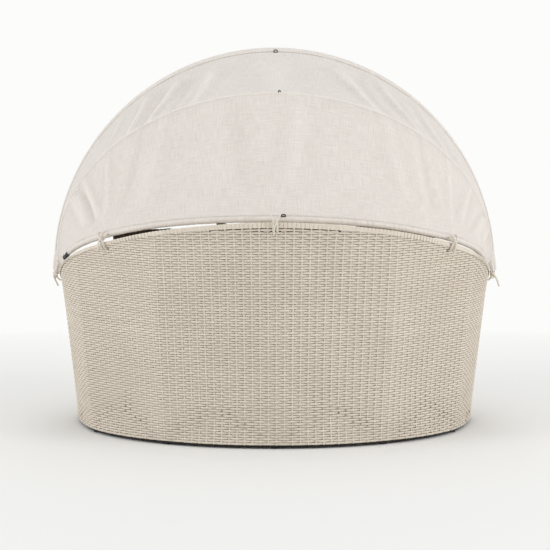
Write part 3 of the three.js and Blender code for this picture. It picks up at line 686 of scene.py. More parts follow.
@dataclass(frozen=True)
class TwistedYarn(Finish):
    """A soft braided cord or thread, with its strands along the piece's UV map."""

    light: Colour = (0.8, 0.75, 0.65)
    lay: float = 0.0042
    thickness: float = 0.0009

    def paint(self, board: NodeBoard, shader: bpy.types.Node) -> None:
        """Slanting strands from the way along and round the cord, with painted shade in the grooves between
        them.
        """
        parts = board.node("ShaderNodeSeparateXYZ", Vector=board.place("UV")).outputs
        along = board.math("MULTIPLY", parts[0], 2 * math.pi / self.lay)
        around = board.math("MULTIPLY", parts[1], 2 * math.pi * 2)
        strands = [board.math("SINE", board.math(way, along, around)) for way in ("ADD", "SUBTRACT")]
        # Paler on the strands' crowns and darker in the grooves: painted groove shade that follows the braid's
        # bump.
        braid = board.spread(board.math("MAXIMUM", *strands), -0.3, 1)
        board.into(shader, Base_Color=board.mix(braid, self.colour, self.light), Sheen_Weight=0.2)
        self.bump(board, shader, braid, 0.0008)


WICKER = WovenResin("resin_wicker", linear(211, 200, 184), 0.62, light=linear(226, 216, 202))
HOOD_CLOTH = Cloth(
    "hood_linen", linear(208, 201, 194), 0.9, light=linear(236, 230, 224), pitch=0.0014, slub_share=0.75
)
SLEEVE_CLOTH = Cloth(
    "hood_linen_sleeve", linear(210, 203, 195), 0.9, light=linear(237, 231, 224), pitch=0.0014, mapped=False,
    slub_share=0.7,
)
# A paler copy of the hood linen for the strap and seam over the middle hoop: a painted highlight along the
# ridge.
RIDGE_HIGHLIGHT_CLOTH = Cloth(
    "hood_linen_ridge_highlight", linear(222, 216, 208), 0.9, light=linear(244, 239, 233), pitch=0.0014, mapped=False
)
CUSHION_CLOTH = Cloth("cushion_canvas", linear(203, 194, 180), 0.92, light=linear(222, 214, 201), mapped=False)
PILLOW_CLOTH = Cloth(
    "pillow_canvas", linear(62, 50, 43), 0.92, light=linear(86, 72, 62), mapped=False, sheen=0.05
)
DARK_PAINT = Coated("dark_powder_coat", linear(26, 24, 22), 0.55, scuffed=linear(78, 74, 68), metallic=0.2)
BRIGHT_STEEL = Coated(
    "bright_steel", linear(170, 170, 168), 0.3, scuffed=linear(120, 118, 114), metallic=0.95, peel=900.0
)
BLACK_PLASTIC = Coated("black_plastic", linear(26, 26, 26), 0.45, scuffed=linear(70, 70, 68), peel=700.0)
DECK_BOARD = Board("deck_board", linear(96, 90, 80), 0.8)
TIE_YARN = TwistedYarn("tie_yarn", linear(196, 187, 172), 0.9, light=linear(240, 233, 221))
KNOT_YARN = Cloth(
    "knot_yarn", TIE_YARN.colour, 0.9, light=TIE_YARN.light, mapped=False, pitch=0.0018, slub_share=0.8
)
STITCH_THREAD = TwistedYarn("stitch_thread", linear(213, 206, 198), 0.9, light=linear(236, 231, 224))
# Dark brown thread for the front sleeve's seam: a painted shadow line along the seam.
SEAM_SHADOW_THREAD = TwistedYarn(
    "seam_shadow_thread", linear(120, 106, 92), 0.9, light=linear(164, 150, 134), thickness=0.0016
)


def geometry_tree(
    name: str, inputs: dict[str, float], build: Callable[[NodeBoard, dict], Socket]
) -> bpy.types.NodeTree:
    """A Geometry Nodes tree with named inputs, built once, ended by Realize Instances and Set Material.

    Args:
        name: The tree's name.
        inputs: The defaults of its sizes by name, besides the geometry and the material.
        build: Gets the board and the input sockets, and returns the geometry.

    Returns:
        The tree.
    """
    found = bpy.data.node_groups.get(name)
    if found:
        return found
    tree = bpy.data.node_groups.new(name, "GeometryNodeTree")
    board = NodeBoard(tree)
    tree.interface.new_socket(name="Geometry", in_out="INPUT", socket_type="NodeSocketGeometry")
    for label, default in inputs.items():
        socket = tree.interface.new_socket(name=label, in_out="INPUT", socket_type="NodeSocketFloat")
        socket.default_value = default
    tree.interface.new_socket(name="Material", in_out="INPUT", socket_type="NodeSocketMaterial")
    tree.interface.new_socket(name="Geometry", in_out="OUTPUT", socket_type="NodeSocketGeometry")
    entry = board.node("NodeGroupInput")
    shape = build(board, {label: entry.outputs[label] for label in ("Geometry", *inputs)})
    real = board.value("GeometryNodeRealizeInstances", Geometry=shape)
    soft = board.value("GeometryNodeSetShadeSmooth", Geometry=real)
    last = board.value("GeometryNodeSetMaterial", Geometry=soft, Material=entry.outputs["Material"])
    board.node("NodeGroupOutput", i0=last)
    return tree


def grown(
    source: bpy.types.Mesh, tree: bpy.types.NodeTree, name: str, finish: Finish, **sizes: float
) -> Piece:
    """Runs a Geometry Nodes tree on a mesh and keeps the plain result.

    Args:
        source: The mesh that the tree starts from.
        tree: The tree.
        name: The new piece's name.
        finish: The material that the tree sets.
        **sizes: The tree's inputs by name.

    Returns:
        The new object, with a plain mesh.
    """
    seed = placed(f"{name}_seed", source)
    modifier = seed.modifiers.new("shape", "NODES")
    modifier.node_group = tree
    given = {**sizes, "Material": finish.material()}
    for item in tree.interface.items_tree:
        if item.item_type == "SOCKET" and item.in_out == "INPUT" and item.name in given:
            modifier[item.identifier] = given[item.name]
    graph = bpy.context.evaluated_depsgraph_get()
    mesh = bpy.data.meshes.new_from_object(
        seed.evaluated_get(graph), preserve_all_data_layers=True, depsgraph=graph
    )
    bpy.data.objects.remove(seed)
    mesh.name = name
    return placed(name, mesh)


def strand_tree() -> bpy.types.NodeTree:
    """Strands that sway in and out as they pass stakes, swept along the edges of a mesh."""

    def build(board: NodeBoard, given: dict) -> Socket:
        """Joins the nodes."""
        crossing = board.math("COSINE", board.math("MULTIPLY", board.named("strand_along"), math.pi))
        place = board.value("GeometryNodeInputPosition")

        def astray(scale: float, size: str) -> Socket:
            """A random step to either side."""
            even = board.math("SUBTRACT", board.noise(place, scale, 1), 0.5)
            return board.math("MULTIPLY", even, given[size])

        step = board.math("ADD", board.math("MULTIPLY", crossing, given["Sway"]), astray(55.0, "Looseness"))
        outward = board.named("strand_outward", "FLOAT_VECTOR")
        move = board.value("ShaderNodeVectorMath", {"operation": "SCALE"}, i0=outward, Scale=step)
        lift = board.value("ShaderNodeCombineXYZ", Z=astray(42.0, "Unevenness"))
        both = board.value("ShaderNodeVectorMath", {"operation": "ADD"}, i0=move, i1=lift)
        swayed = board.value("GeometryNodeSetPosition", Geometry=given["Geometry"], Offset=both)
        curve = board.value("GeometryNodeMeshToCurve", Mesh=swayed)
        turned = board.value("GeometryNodeSetCurveNormal", {"mode": "Z_UP"}, Curve=curve)
        return board.swept(turned, given, 6, math.pi / 6)

    sizes = {"Width": 0.0016, "Height": 0.008, "Sway": 0.002, "Looseness": 0.0004, "Unevenness": 0.0006}
    return geometry_tree("woven_strands", sizes, build)


def wrap_tree() -> bpy.types.NodeTree:
    """Flat strips laid over a rim, swept along the edges of a mesh without twist."""

    def build(board: NodeBoard, given: dict) -> Socket:
        """Joins the nodes."""
        return board.swept(board.value("GeometryNodeMeshToCurve", Mesh=given["Geometry"]), given, 8)

    return geometry_tree("rim_wraps", {"Width": 0.012, "Height": 0.002}, build)


def stitch_tree() -> bpy.types.NodeTree:
    """Short stitches laid on the points of a mesh, turned along its stitch_turn attribute."""

    def build(board: NodeBoard, given: dict) -> Socket:
        """Joins the nodes."""
        ball = board.value("GeometryNodeMeshUVSphere", Segments=6, Rings=4, Radius=0.5)
        thick = given["Thickness"]
        size = board.value("ShaderNodeCombineXYZ", X=given["Length"], Y=thick, Z=thick)
        shaped = board.value("GeometryNodeTransform", Geometry=ball, Scale=size)
        turn = board.named("stitch_turn", "FLOAT_VECTOR")
        return board.value(
            "GeometryNodeInstanceOnPoints", Points=given["Geometry"], Instance=shaped, Rotation=turn
        )

    return geometry_tree("sewn_stitches", {"Length": 0.0032, "Thickness": 0.0009}, build)


def line_mesh(name: str, lines: Sequence[Line]) -> bpy.types.Mesh:
    """A mesh of open lines, with their other arrays kept as point attributes.

    Args:
        name: The mesh's name.
        lines: For each line its points, and any further arrays of numbers or vectors by name.

    Returns:
        The mesh.
    """
    mesh = bpy.data.meshes.new(name)
    edges, first = [], 0
    for line in lines:
        last = first + len(line["points"])
        edges += [(i, i + 1) for i in range(first, last - 1)]
        first = last
    mesh.from_pydata(np.vstack([line["points"] for line in lines]).tolist(), edges, [])
    for key in lines[0]:
        if key != "points":
            values = np.concatenate([line[key] for line in lines]).astype(np.float32)
            kind, part = ("FLOAT_VECTOR", "vector") if values.ndim == 2 else ("FLOAT", "value")
            mesh.attributes.new(key, kind, "POINT").data.foreach_set(part, values.ravel())
    return mesh


def stitches(name: str, path: np.ndarray, pitch: float, thread: TwistedYarn) -> Piece:
    """A row of stitches along a path.

    Args:
        name: The piece's name.
        path: The line that they follow.
        pitch: The distance from one stitch to the next.
        thread: The thread.

    Returns:
        The piece, in its thread's material.
    """
    stitch_share = 0.8
    steps = steps_along(path)
    at = np.arange(pitch / 2, steps[-1], pitch)
    points, beyond = (
        np.column_stack([np.interp(spot, steps, path[:, k]) for k in range(3)])
        for spot in (at, at + pitch / 4)
    )
    turn = [Vector(way).to_track_quat("X", "Z").to_euler() for way in beyond - points]
    mesh = line_mesh(f"{name}_points", [{"points": points, "stitch_turn": np.array(turn)}])
    return grown(mesh, stitch_tree(), name, thread, Length=pitch * stitch_share, Thickness=thread.thickness)


# The woven tub


def inset_line(line: np.ndarray, inset: float, closed: bool = False) -> np.ndarray:
    """A line in plan moved to its left by an even distance.

    Args:
        line: The corners.
        inset: The distance.
        closed: Whether the last corner joins the first.

    Returns:
        The moved corners.
    """
    ahead = unit(np.roll(line, -1, axis=0) - line)
    after = np.column_stack([-ahead[:, 1], ahead[:, 0]])
    before = np.roll(after, 1, axis=0)
    if not closed:
        before[0], after[-1] = after[0], before[-1]
    spread = 1 + (before * after).sum(1)
    return line + inset * (before + after) / spread[:, None]


@dataclass
class TubPlan:
    """Where the walls of the tub stand, as the CAD model has them."""

    corner_angle: float = math.pi / 6
    half_corners: int = 6
    foot_radius: float = 0.800
    rim_radius: float = 0.870
    arm_reach: float = 0.018
    halves_gap: float = 0.0009
    foot_bar_top: float = 0.017
    rim_side: float = 0.578
    rim_back: float = 0.789
    seat_height: float = 0.330
    wall_depth: float = 0.036
    strand_gap: float = 0.004
    foot_bow: float = 1.2
    side_foot_bow: float = 0.7
    middle_bow: float = 0.28
    rim_bow: float = 1.0
    bow_fade: float = 0.07
    border_places: tuple[float, ...] = (
        -0.87, -0.75, -0.6, -0.45, -0.3, -0.2, 0.0, 0.1, 0.2, 0.3, 0.4, 0.5, 0.58, 0.65,
    )
    border_lifts: tuple[float, ...] = (
        0.0020, 0.0035, 0.0060, 0.0055, 0.0058, 0.0072, 0.0084, 0.0080, 0.0060, 0.0046, 0.0038, 0.0026,
        0.0008, 0.0,
    )

    @property
    def slope(self) -> float:
        """How much the rim rises for each metre towards the back."""
        return (self.rim_back - self.rim_side) / self.rim_radius

    def border_lift(self, x: np.ndarray) -> np.ndarray:
        """How much higher than the tube the hand-wrapped border stands along the rim."""
        return np.interp(x, self.border_places, self.border_lifts)

    def rim_at(self, y: np.ndarray) -> np.ndarray:
        """The height of the rim over a depth."""
        return self.rim_side + (self.rim_back - self.rim_side) * y / self.rim_radius

    def bow(
        self, inset: float, way: np.ndarray, z: np.ndarray, facing_x: np.ndarray, drop: np.ndarray | None = None
    ) -> np.ndarray:
        """How far the skin stands out between two corners: nearly round at the foot and the rim.

        Args:
            inset: How far the line is inside the outer face. The lining stays flat.
            way: The places between the corners, from 0 to 1.
            z: The heights.
            facing_x: The X part of each flat's outward direction.
            drop: The drops below the rim, or None where the skin doesn't reach it.

        Returns:
            The distances.
        """
        rise = (z - self.foot_bar_top) / (self.rim_side - self.foot_bar_top)
        radius = self.foot_radius + (self.rim_radius - self.foot_radius) * np.clip(rise, 0, 1)
        at_side = smooth_step(np.abs(facing_x), 0.8, 0.95)
        foot_bow = self.foot_bow + (self.side_foot_bow - self.foot_bow) * at_side
        near_foot = np.exp(-(z - self.foot_bar_top) / self.bow_fade)
        share = self.middle_bow + (foot_bow - self.middle_bow) * near_foot
        if drop is not None:
            share = share + (self.rim_bow - self.middle_bow) * np.exp(-drop / self.bow_fade)
        sagitta = radius * (1 - math.cos(self.corner_angle / 2))
        inside = max(0.0, 1 - inset / (self.wall_depth - self.strand_gap))
        return sagitta * share * 4 * way * (1 - way) * inside

    def plan(self, radius: float, inset: float, turned_in: bool) -> np.ndarray:
        """The rear wall's corners in plan, from the left arm end round the back to the right one.

        Args:
            radius: The radius of the corners.
            inset: How far the line is moved inwards.
            turned_in: Whether it goes on across the arm ends.

        Returns:
            The corners, one row each.
        """
        angles = np.arange(self.half_corners + 1) * self.corner_angle
        corners = [(radius * math.cos(a), radius * math.sin(a)) for a in angles]
        line = [(radius, -self.arm_reach), *corners, (-radius, -self.arm_reach)]
        if turned_in:
            inner = radius - self.wall_depth
            line = [(inner, -self.arm_reach), *line, (-inner, -self.arm_reach)]
        return inset_line(np.array(line), inset)

    def wall(
        self, inset: float, heights: Callable[[np.ndarray], np.ndarray], turned_in: bool = False
    ) -> np.ndarray:
        """A line of corners on the leaning rear wall.

        Args:
            inset: How far inside the outer face.
            heights: Gets the rim's height over each corner and gives the line's.
            turned_in: Whether the line goes on across the arm ends.

        Returns:
            The corners, one row each.
        """
        low = self.plan(self.foot_radius, inset, turned_in)
        high = self.plan(self.rim_radius, inset, turned_in)
        rim = self.rim_at(high[:, 1])
        z = heights(rim)
        rise = ((z - self.foot_bar_top) / (rim - self.foot_bar_top))[:, None]
        return np.column_stack([low + (high - low) * rise, z])

    def corner_radius(self, z: float) -> float:
        """The radius of the front half's corners at a height."""
        rise = (z - self.foot_bar_top) / (self.rim_side - self.foot_bar_top)
        return self.foot_radius + (self.rim_radius - self.foot_radius) * rise

    def front(self, inset: float, z: float) -> np.ndarray:
        """The outline of the front half, turning to the left and ended where it starts.

        Args:
            inset: How far inside the outer face.
            z: The height.

        Returns:
            The corners, one row each.
        """
        angles = np.arange(self.half_corners + 1) * self.corner_angle
        radius = self.corner_radius(z)
        centre = -(self.arm_reach + self.halves_gap)
        line = np.array([(-radius * math.cos(a), centre - radius * math.sin(a)) for a in angles])
        ring = np.column_stack([inset_line(line, inset, closed=True), np.full(len(line), z)])
        return np.vstack([ring, ring[:1]])

    def spot(self, rim_angle: float, drop: float) -> np.ndarray:
        """The outer face of the rear wall in one direction from the middle.

        Args:
            rim_angle: The direction, in degrees from +X.
            drop: The distance below the rim.

        Returns:
            The point.
        """
        angle = math.radians(rim_angle)
        facet = min(int(angle / self.corner_angle), self.half_corners - 1)
        line = self.wall(0, lambda rim: rim - drop)
        start, edge = line[facet + 1], line[facet + 2] - line[facet + 1]
        dx, dy = math.cos(angle), math.sin(angle)
        share = (start[1] * dx - start[0] * dy) / (edge[0] * dy - edge[1] * dx)
        flat = start + edge * share
        facing = unit(np.array([edge[1], -edge[0], 0.0]))
        out = facing * self.bow(0, np.array([share]), flat[2:], facing[:1], np.array([drop]))[0]
        out[2] = (self.rim_back - self.rim_side) * out[1] / self.rim_radius
        return flat + out


class Rim(Enum):
    """How a line on a wall keeps to the rim when the skin bows outwards."""

    NONE = "a wall without a rim"
    UNDER = "a line that stays level"
    ALONG = "a line that rises with the rim"


@dataclass
class Weave:
    """Plain weave of flat strands over and under upright stakes, and the wraps over its edges."""

    plan: TubPlan
    pitch: float = 0.0087
    strand_height: float = 0.0083
    strand_thickness: float = 0.0016
    stake_pitch: float = 0.029
    stakes_per_facet: int = 15
    stake_width: float = 0.0062
    stake_thickness: float = 0.0023
    steps: int = 4
    sway: float = 0.0019
    tone_seed: int = 11
    foot: float = 0.0138
    middle_inset: float = 0.0022
    border_drop: float = 0.0135
    wrap_thickness: float = 0.0021

    @property
    def facets(self) -> list[float]:
        """How many stakes lie on each flat of a half."""
        return [float(self.stakes_per_facet)] * self.plan.half_corners

    def line(
        self, corners: np.ndarray, counts: Sequence[float], inset: float = 0.0, rim: Rim = Rim.NONE,
        drop: float = 0.0, bowed: bool = True,
    ) -> Line:
        """A line with even steps between stakes.

        Args:
            corners: The corners of the line.
            counts: How many stakes lie between each corner and the next.
            inset: How far the line is inside the outer face.
            rim: How the line keeps to the rim.
            drop: For a line along the rim, how far below it.
            bowed: Whether the flats bow outwards.

        Returns:
            The points, their outward directions and their places counted in stakes.
        """
        plan, points, facing, along, way, total = self.plan, [], [], [], [], 0.0
        normals = facing_out(unit(np.diff(corners[:, :2], axis=0)))
        for i, count in enumerate(counts):
            steps = max(1, round(count * self.steps))
            share = np.arange(steps + (i == len(counts) - 1)) / steps
            points.append(corners[i] + (corners[i + 1] - corners[i]) * share[:, None])
            facing.append(np.repeat(normals[i][None], len(share), axis=0))
            way.append(share if count == self.stakes_per_facet else np.zeros(len(share)))
            along.append(total + count * share)
            total += count
        line, facing = np.vstack(points), np.vstack(facing)
        if bowed:
            below = None
            if rim is Rim.ALONG:
                below = np.full(len(line), drop)
            elif rim is Rim.UNDER:
                below = np.maximum(plan.rim_side + plan.slope * line[:, 1] - line[:, 2], 0)
            out = facing * plan.bow(inset, np.concatenate(way), line[:, 2], facing[:, 0], below)[:, None]
            if rim is Rim.ALONG:
                out[:, 2] = plan.slope * out[:, 1]
            line = line + out
        outward = unit(facing_out(np.gradient(line[:, :2], axis=0)))
        return {"points": line, "strand_outward": outward, "strand_along": np.concatenate(along)}

    def strands(self, name: str, lines: list[Line], width: float, height: float, sway: float) -> Piece:
        """Strands along given lines.

        Args:
            name: The piece's name.
            lines: The lines, with their outward directions and places along.
            width: The strand's size towards the outside.
            height: The strand's size along the other direction.
            sway: How far it passes to either side.

        Returns:
            The piece.
        """
        tones = np.random.default_rng(self.tone_seed).random(len(lines))
        for line, tone in zip(lines, tones):
            line["strand_tone"] = np.full(len(line["points"]), tone)
        corner_width = width / math.cos(math.pi / 6)
        source = line_mesh(f"{name}_lines", lines)
        return grown(source, strand_tree(), name, WICKER, Width=corner_width, Height=height, Sway=sway)

    def weft(self, name: str, lines: list[Line]) -> Piece:
        """The lying strands."""
        return self.strands(name, lines, self.strand_thickness, self.strand_height, self.sway)

    def stakes(self, name: str, lines: list[Line]) -> Piece:
        """The upright strands, which keep straight."""
        return self.strands(name, lines, self.stake_width, self.stake_thickness, 0.0)

    def uprights(self, layers: Sequence[Line], count: int) -> list[Line]:
        """Stakes that cross given lines.

        Args:
            layers: The lines, from the foot upwards.
            count: How many stakes there are.

        Returns:
            The stakes' lines.
        """
        stakes = []
        for k in range(count):
            at = int(np.abs(layers[0]["strand_along"] - k).argmin())
            points = np.array([layer["points"][at] for layer in layers])
            outward = np.array([layer["strand_outward"][at] for layer in layers])
            stakes.append(upright(points, outward))
        return stakes

    def wraps(self, name: str, layers: Sequence[np.ndarray], seed: int, width: float) -> Piece:
        """Flat strips laid over an edge, side by side.

        Args:
            name: The piece's name.
            layers: The points that each strip passes, as lines along the edge.
            seed: The seed of the strips' tones.
            width: The width of a strip.

        Returns:
            The piece.
        """
        tones = np.random.default_rng(seed).random(len(layers[0]))
        strips = [
            {
                "points": np.array([layer[k] for layer in layers]),
                "strand_along": np.linspace(0, 1, len(layers)) + k,
                "strand_tone": np.full(len(layers), tones[k]),
            }
            for k in range(1, len(layers[0]), 2)
        ]
        source = line_mesh(f"{name}_lines", strips)
        return grown(source, wrap_tree(), name, WICKER, Width=width, Height=self.wrap_thickness)


def upright(points: np.ndarray, outward: np.ndarray) -> Line:
    """The line of a stake, which stays midway between two crossings."""
    return {"points": points, "strand_outward": outward, "strand_along": np.full(len(points), 0.5)}


def joined(name: str, parts: Sequence[Piece]) -> Piece:
    """Joins pieces into the first one, which gets the name.

    Args:
        name: The name.
        parts: The pieces.

    Returns:
        The first piece.
    """
    with bpy.context.temp_override(active_object=parts[0], selected_editable_objects=list(parts)):
        bpy.ops.object.join()
    parts[0].name = parts[0].data.name = name
    return parts[0]


def runs(inside: np.ndarray) -> list[tuple[int, int]]:
    """The stretches of true values, as start and stop."""
    padded = np.concatenate([[False], inside, [False]])
    edges = np.flatnonzero(padded[1:] != padded[:-1])
    return list(zip(edges[::2].tolist(), edges[1::2].tolist()))


def kept(line: Line, inside: np.ndarray | slice) -> Line:
    """A part of a line and of its further arrays."""
    return {key: values[inside] for key, values in line.items()}


@dataclass
class RearWalls:
    """The woven skins of the rear half, and the border over its rim."""

    weave: Weave
    lining_inset: float = 0.0338
    lining_foot: float = 0.3275
    border_gap: float = 0.0014
    border_rise: float = 0.0004
    wrap_width: float = 0.0172
    wrap_seed: int = 5
    wrap_reach: float = 0.0012
    wrap_shoulder: float = 0.006
    row_tilts: tuple[float, ...] = (0.05, 0.035, 0.0, 0.0, 0.0, 0.035, 0.05)
    stake_shares: tuple[float, ...] = (0, 0.03, 0.07, 0.12, 0.18, 0.3, 0.5, 0.7, 0.82, 0.88, 0.93, 0.97)
    slot_reach: float = 7.6
    holes: tuple[tuple[float, float, float], ...] = ()
    hole_size: float = 0.0085
    hole_share: float = 0.55
    tucked: float = 0.006

    def counts(self, turned_in: bool) -> list[float]:
        """How many stakes lie between each corner and the next."""
        arm = [self.weave.plan.arm_reach / self.weave.stake_pitch]
        end = [self.weave.plan.wall_depth / self.weave.stake_pitch] if turned_in else []
        return [*end, *arm, *self.weave.facets, *arm, *end]

    def rim_line(self, inset: float, drop: float, turned_in: bool) -> Line:
        """A line along the rim, at a drop below it."""
        corners = self.weave.plan.wall(inset, lambda rim: rim - drop, turned_in)
        return self.weave.line(corners, self.counts(turned_in), inset, Rim.ALONG, drop)

    def from_middle(self, line: Line) -> np.ndarray:
        """How many stakes each point of a line is from its middle."""
        return np.abs(line["strand_along"] - line["strand_along"][-1] / 2)

    def rows(self, inset: float, foot: float, drop: float, turned_in: bool) -> list[Line]:
        """Level rows of one skin, each as far as it stays under the border.

        Args:
            inset: The skin's middle below the outer face.
            foot: The height where the rows start.
            drop: How far under the rim they end.
            turned_in: Whether they go on across the arm ends.

        Returns:
            The lines.
        """
        weave, ends = self.weave, 2 if turned_in else 1
        tilts = np.array([self.row_tilts[0]] * ends + list(self.row_tilts) + [self.row_tilts[-1]] * ends)
        rim = self.rim_line(inset, drop, turned_in)
        slotted = (self.from_middle(rim) < self.slot_reach) & turned_in
        top = rim["points"][:, 2] + np.where(slotted, 0.0, drop - self.tucked)
        lines, row = [], 0
        while True:
            level = foot + weave.pitch * (row + 0.5)
            corners = weave.plan.wall(inset, lambda _: foot + (level - foot) * (1 + tilts), turned_in)
            line = weave.line(corners, self.counts(turned_in), inset, Rim.UNDER)
            inside = line["points"][:, 2] < top
            if not inside.any():
                return lines
            for hole in self.holes if turned_in else ():
                away = np.abs(line["points"] - hole)
                level_away = np.hypot(away[:, 0], away[:, 1])
                inside &= (away[:, 2] > weave.pitch * self.hole_share) | (level_away > self.hole_size)
            line["strand_along"] = line["strand_along"] + row
            lines += [kept(line, slice(*run)) for run in runs(inside) if run[1] - run[0] > 2]
            row += 1

    def uprights(self, inset: float, foot: float, turned_in: bool) -> list[Line]:
        """The stakes of one skin, up to the middle of the border.

        Args:
            inset: The skin's middle below the outer face.
            foot: Their lower ends.
            turned_in: Whether the skin goes on across the arm ends.

        Returns:
            The lines.
        """
        plan, drop, counts = self.weave.plan, self.weave.border_drop / 2, self.counts(turned_in)
        layers = []
        for share in self.stake_shares:
            corners = plan.wall(inset, lambda rim: foot + (rim - drop - foot) * share, turned_in)
            layers.append(self.weave.line(corners, counts, inset, Rim.UNDER))
        layers.append(self.rim_line(inset, drop, turned_in))
        return self.weave.uprights(layers, math.ceil(layers[0]["strand_along"][-1]) + 1)

    def build(self) -> None:
        """Makes the skins and the border."""
        weave = self.weave
        inset, drop, reach = weave.middle_inset, weave.border_drop, self.slot_reach
        rows = self.rows(inset, weave.foot, drop + weave.pitch * 0.9, True)
        border = self.rim_line(inset - self.border_rise, drop + weave.pitch / 2, True)
        from_middle = self.from_middle(border)
        border["points"][:, 2] -= self.border_gap * (1 - smooth_step(from_middle, reach * 0.6, reach))
        border = kept(border, from_middle < reach)
        left, right = [], []
        for line in rows:
            for half, side in ((left, 1), (right, -1)):
                inside = line["points"][:, 0] * side > -1e-6
                if inside.sum() > 2:
                    half.append(kept(line, inside))
        stakes = weave.stakes("stakes", self.uprights(inset, weave.foot, True))
        parts = [weave.weft("left", left), weave.weft("top", [border]), stakes]
        skin = joined("rear_outer_strands_left", parts)
        dress(skin, WICKER, Body.REAR, ["rear_outer_weave"])
        dress(weave.weft("rear_outer_strands_right", right), WICKER, Body.REAR)
        inner = self.rows(self.lining_inset, self.lining_foot, drop, False)
        posts = weave.stakes("posts", self.uprights(self.lining_inset, self.lining_foot, False))
        lining = joined("rear_lining_strands", [weave.weft("lining", inner), posts])
        dress(lining, WICKER, Body.REAR, ["rear_inner_weave"])
        self.border()
        self.front_panel()

    def border(self) -> None:
        """The wraps over the rim from one face to the other, as inset and drop below the rim."""
        plan, drop, half_thick = self.weave.plan, self.weave.border_drop, self.weave.wrap_thickness / 2
        reach, shoulder, inner = self.wrap_reach, self.wrap_shoulder, plan.wall_depth - half_thick
        stations = [
            (half_thick - reach, drop), (half_thick - reach - 0.0002, shoulder), (0.0022, 0.0022),
            (0.007, half_thick), (0.018, half_thick - 0.0006), (0.029, half_thick), (0.0338, 0.0022),
            (inner + reach + 0.0002, shoulder), (inner + reach, drop),
        ]
        fine = Weave(plan, steps=2, stakes_per_facet=30)
        arm = plan.arm_reach / self.wrap_width
        layers = []
        for inset, low in stations:
            corners = plan.wall(inset, lambda rim: rim - low)
            layers.append(fine.line(corners, [arm, *fine.facets, arm], inset, Rim.ALONG, low)["points"])
            if low < drop:
                layers[-1][:, 2] += plan.border_lift(layers[-1][:, 0])
        piece = fine.wraps("rim_border", layers, self.wrap_seed, self.wrap_width)
        dress(piece, WICKER, Body.REAR, ["rim_wrap"])

    def front_panel(self) -> None:
        """The flat woven front of the rear half, under the seat."""
        plan, weave = self.weave.plan, self.weave
        y = -plan.arm_reach + weave.middle_inset
        top, low = plan.seat_height, weave.foot
        lines = []
        for row in range(int((top - low) / weave.pitch)):
            z = low + weave.pitch * (row + 0.5)
            reach = plan.corner_radius(z) - plan.wall_depth
            corners = np.array([(-reach, y, z), (reach, y, z)])
            line = weave.line(corners, [2 * reach / weave.stake_pitch], bowed=False)
            along = line["strand_along"]
            lines.append({**line, "strand_along": (along - along[-1] / 2) + row})
        posts, steps = [], np.linspace(0, 1, 5)
        count = int((plan.corner_radius(low) - plan.wall_depth) / weave.stake_pitch)
        for k in range(-count, count + 1):
            points = np.array([(k * weave.stake_pitch, y, low + (top - low) * s) for s in steps])
            points[:, 1] -= np.linspace(0, 1e-4, len(steps))
            posts.append(upright(points, np.repeat([[0, -1.0, 0]], len(steps), axis=0)))
        parts = [weave.weft("panel", lines), weave.stakes("panel_stakes", posts)]
        piece = joined("rear_front_strands", parts)
        dress(piece, WICKER, Body.REAR, ["rear_front_panel"])


@dataclass
class FrontWalls:
    """The woven skin round the front half, and the border over its upper edge."""

    weave: Weave
    stake_shares: tuple[float, ...] = (0, 0.05, 0.12, 0.22, 0.35, 0.55, 0.78, 0.99)
    tucked: float = 0.002
    wrap_width: float = 0.0158
    wrap_seed: int = 8
    stations: tuple[tuple[float, float], ...] = (
        (0.0013, -0.0135), (0.0013, -0.006), (0.0028, -0.0016), (0.0080, 0.0), (0.0170, 0.0002),
        (0.0300, 0.0004), (0.0440, 0.0004), (0.0560, -0.0016),
    )

    def build(self) -> None:
        """Makes the skin and the border, which goes down to the seat boards under the cushion."""
        plan, weave = self.weave.plan, self.weave
        straight = 2 * plan.corner_radius(plan.seat_height) / weave.stake_pitch
        counts, inset = [*weave.facets, float(round(straight / 2) * 2)], weave.middle_inset
        height = plan.seat_height - weave.foot
        lines = []
        for row in range(int((height - weave.border_drop + self.tucked) / weave.pitch)):
            line = weave.line(plan.front(inset, weave.foot + weave.pitch * (row + 0.5)), counts, inset)
            lines.append({**line, "strand_along": line["strand_along"] + row})
        layers = [
            weave.line(plan.front(inset, weave.foot + height * share), counts, inset)
            for share in self.stake_shares
        ]
        posts = weave.uprights(layers, int(layers[0]["strand_along"][-1]))
        piece = joined("front_strands", [weave.weft("front", lines), weave.stakes("front_stakes", posts)])
        dress(piece, WICKER, Body.FRONT, ["front_weave"])
        fine = Weave(plan, steps=2, stakes_per_facet=30)
        counts = [*fine.facets, float(round(straight) * 2)]
        layers = [
            fine.line(plan.front(inset, plan.seat_height + lift), counts, inset)["points"]
            for inset, lift in self.stations
        ]
        piece = fine.wraps("front_border", layers, self.wrap_seed, self.wrap_width)
        dress(piece, WICKER, Body.FRONT)


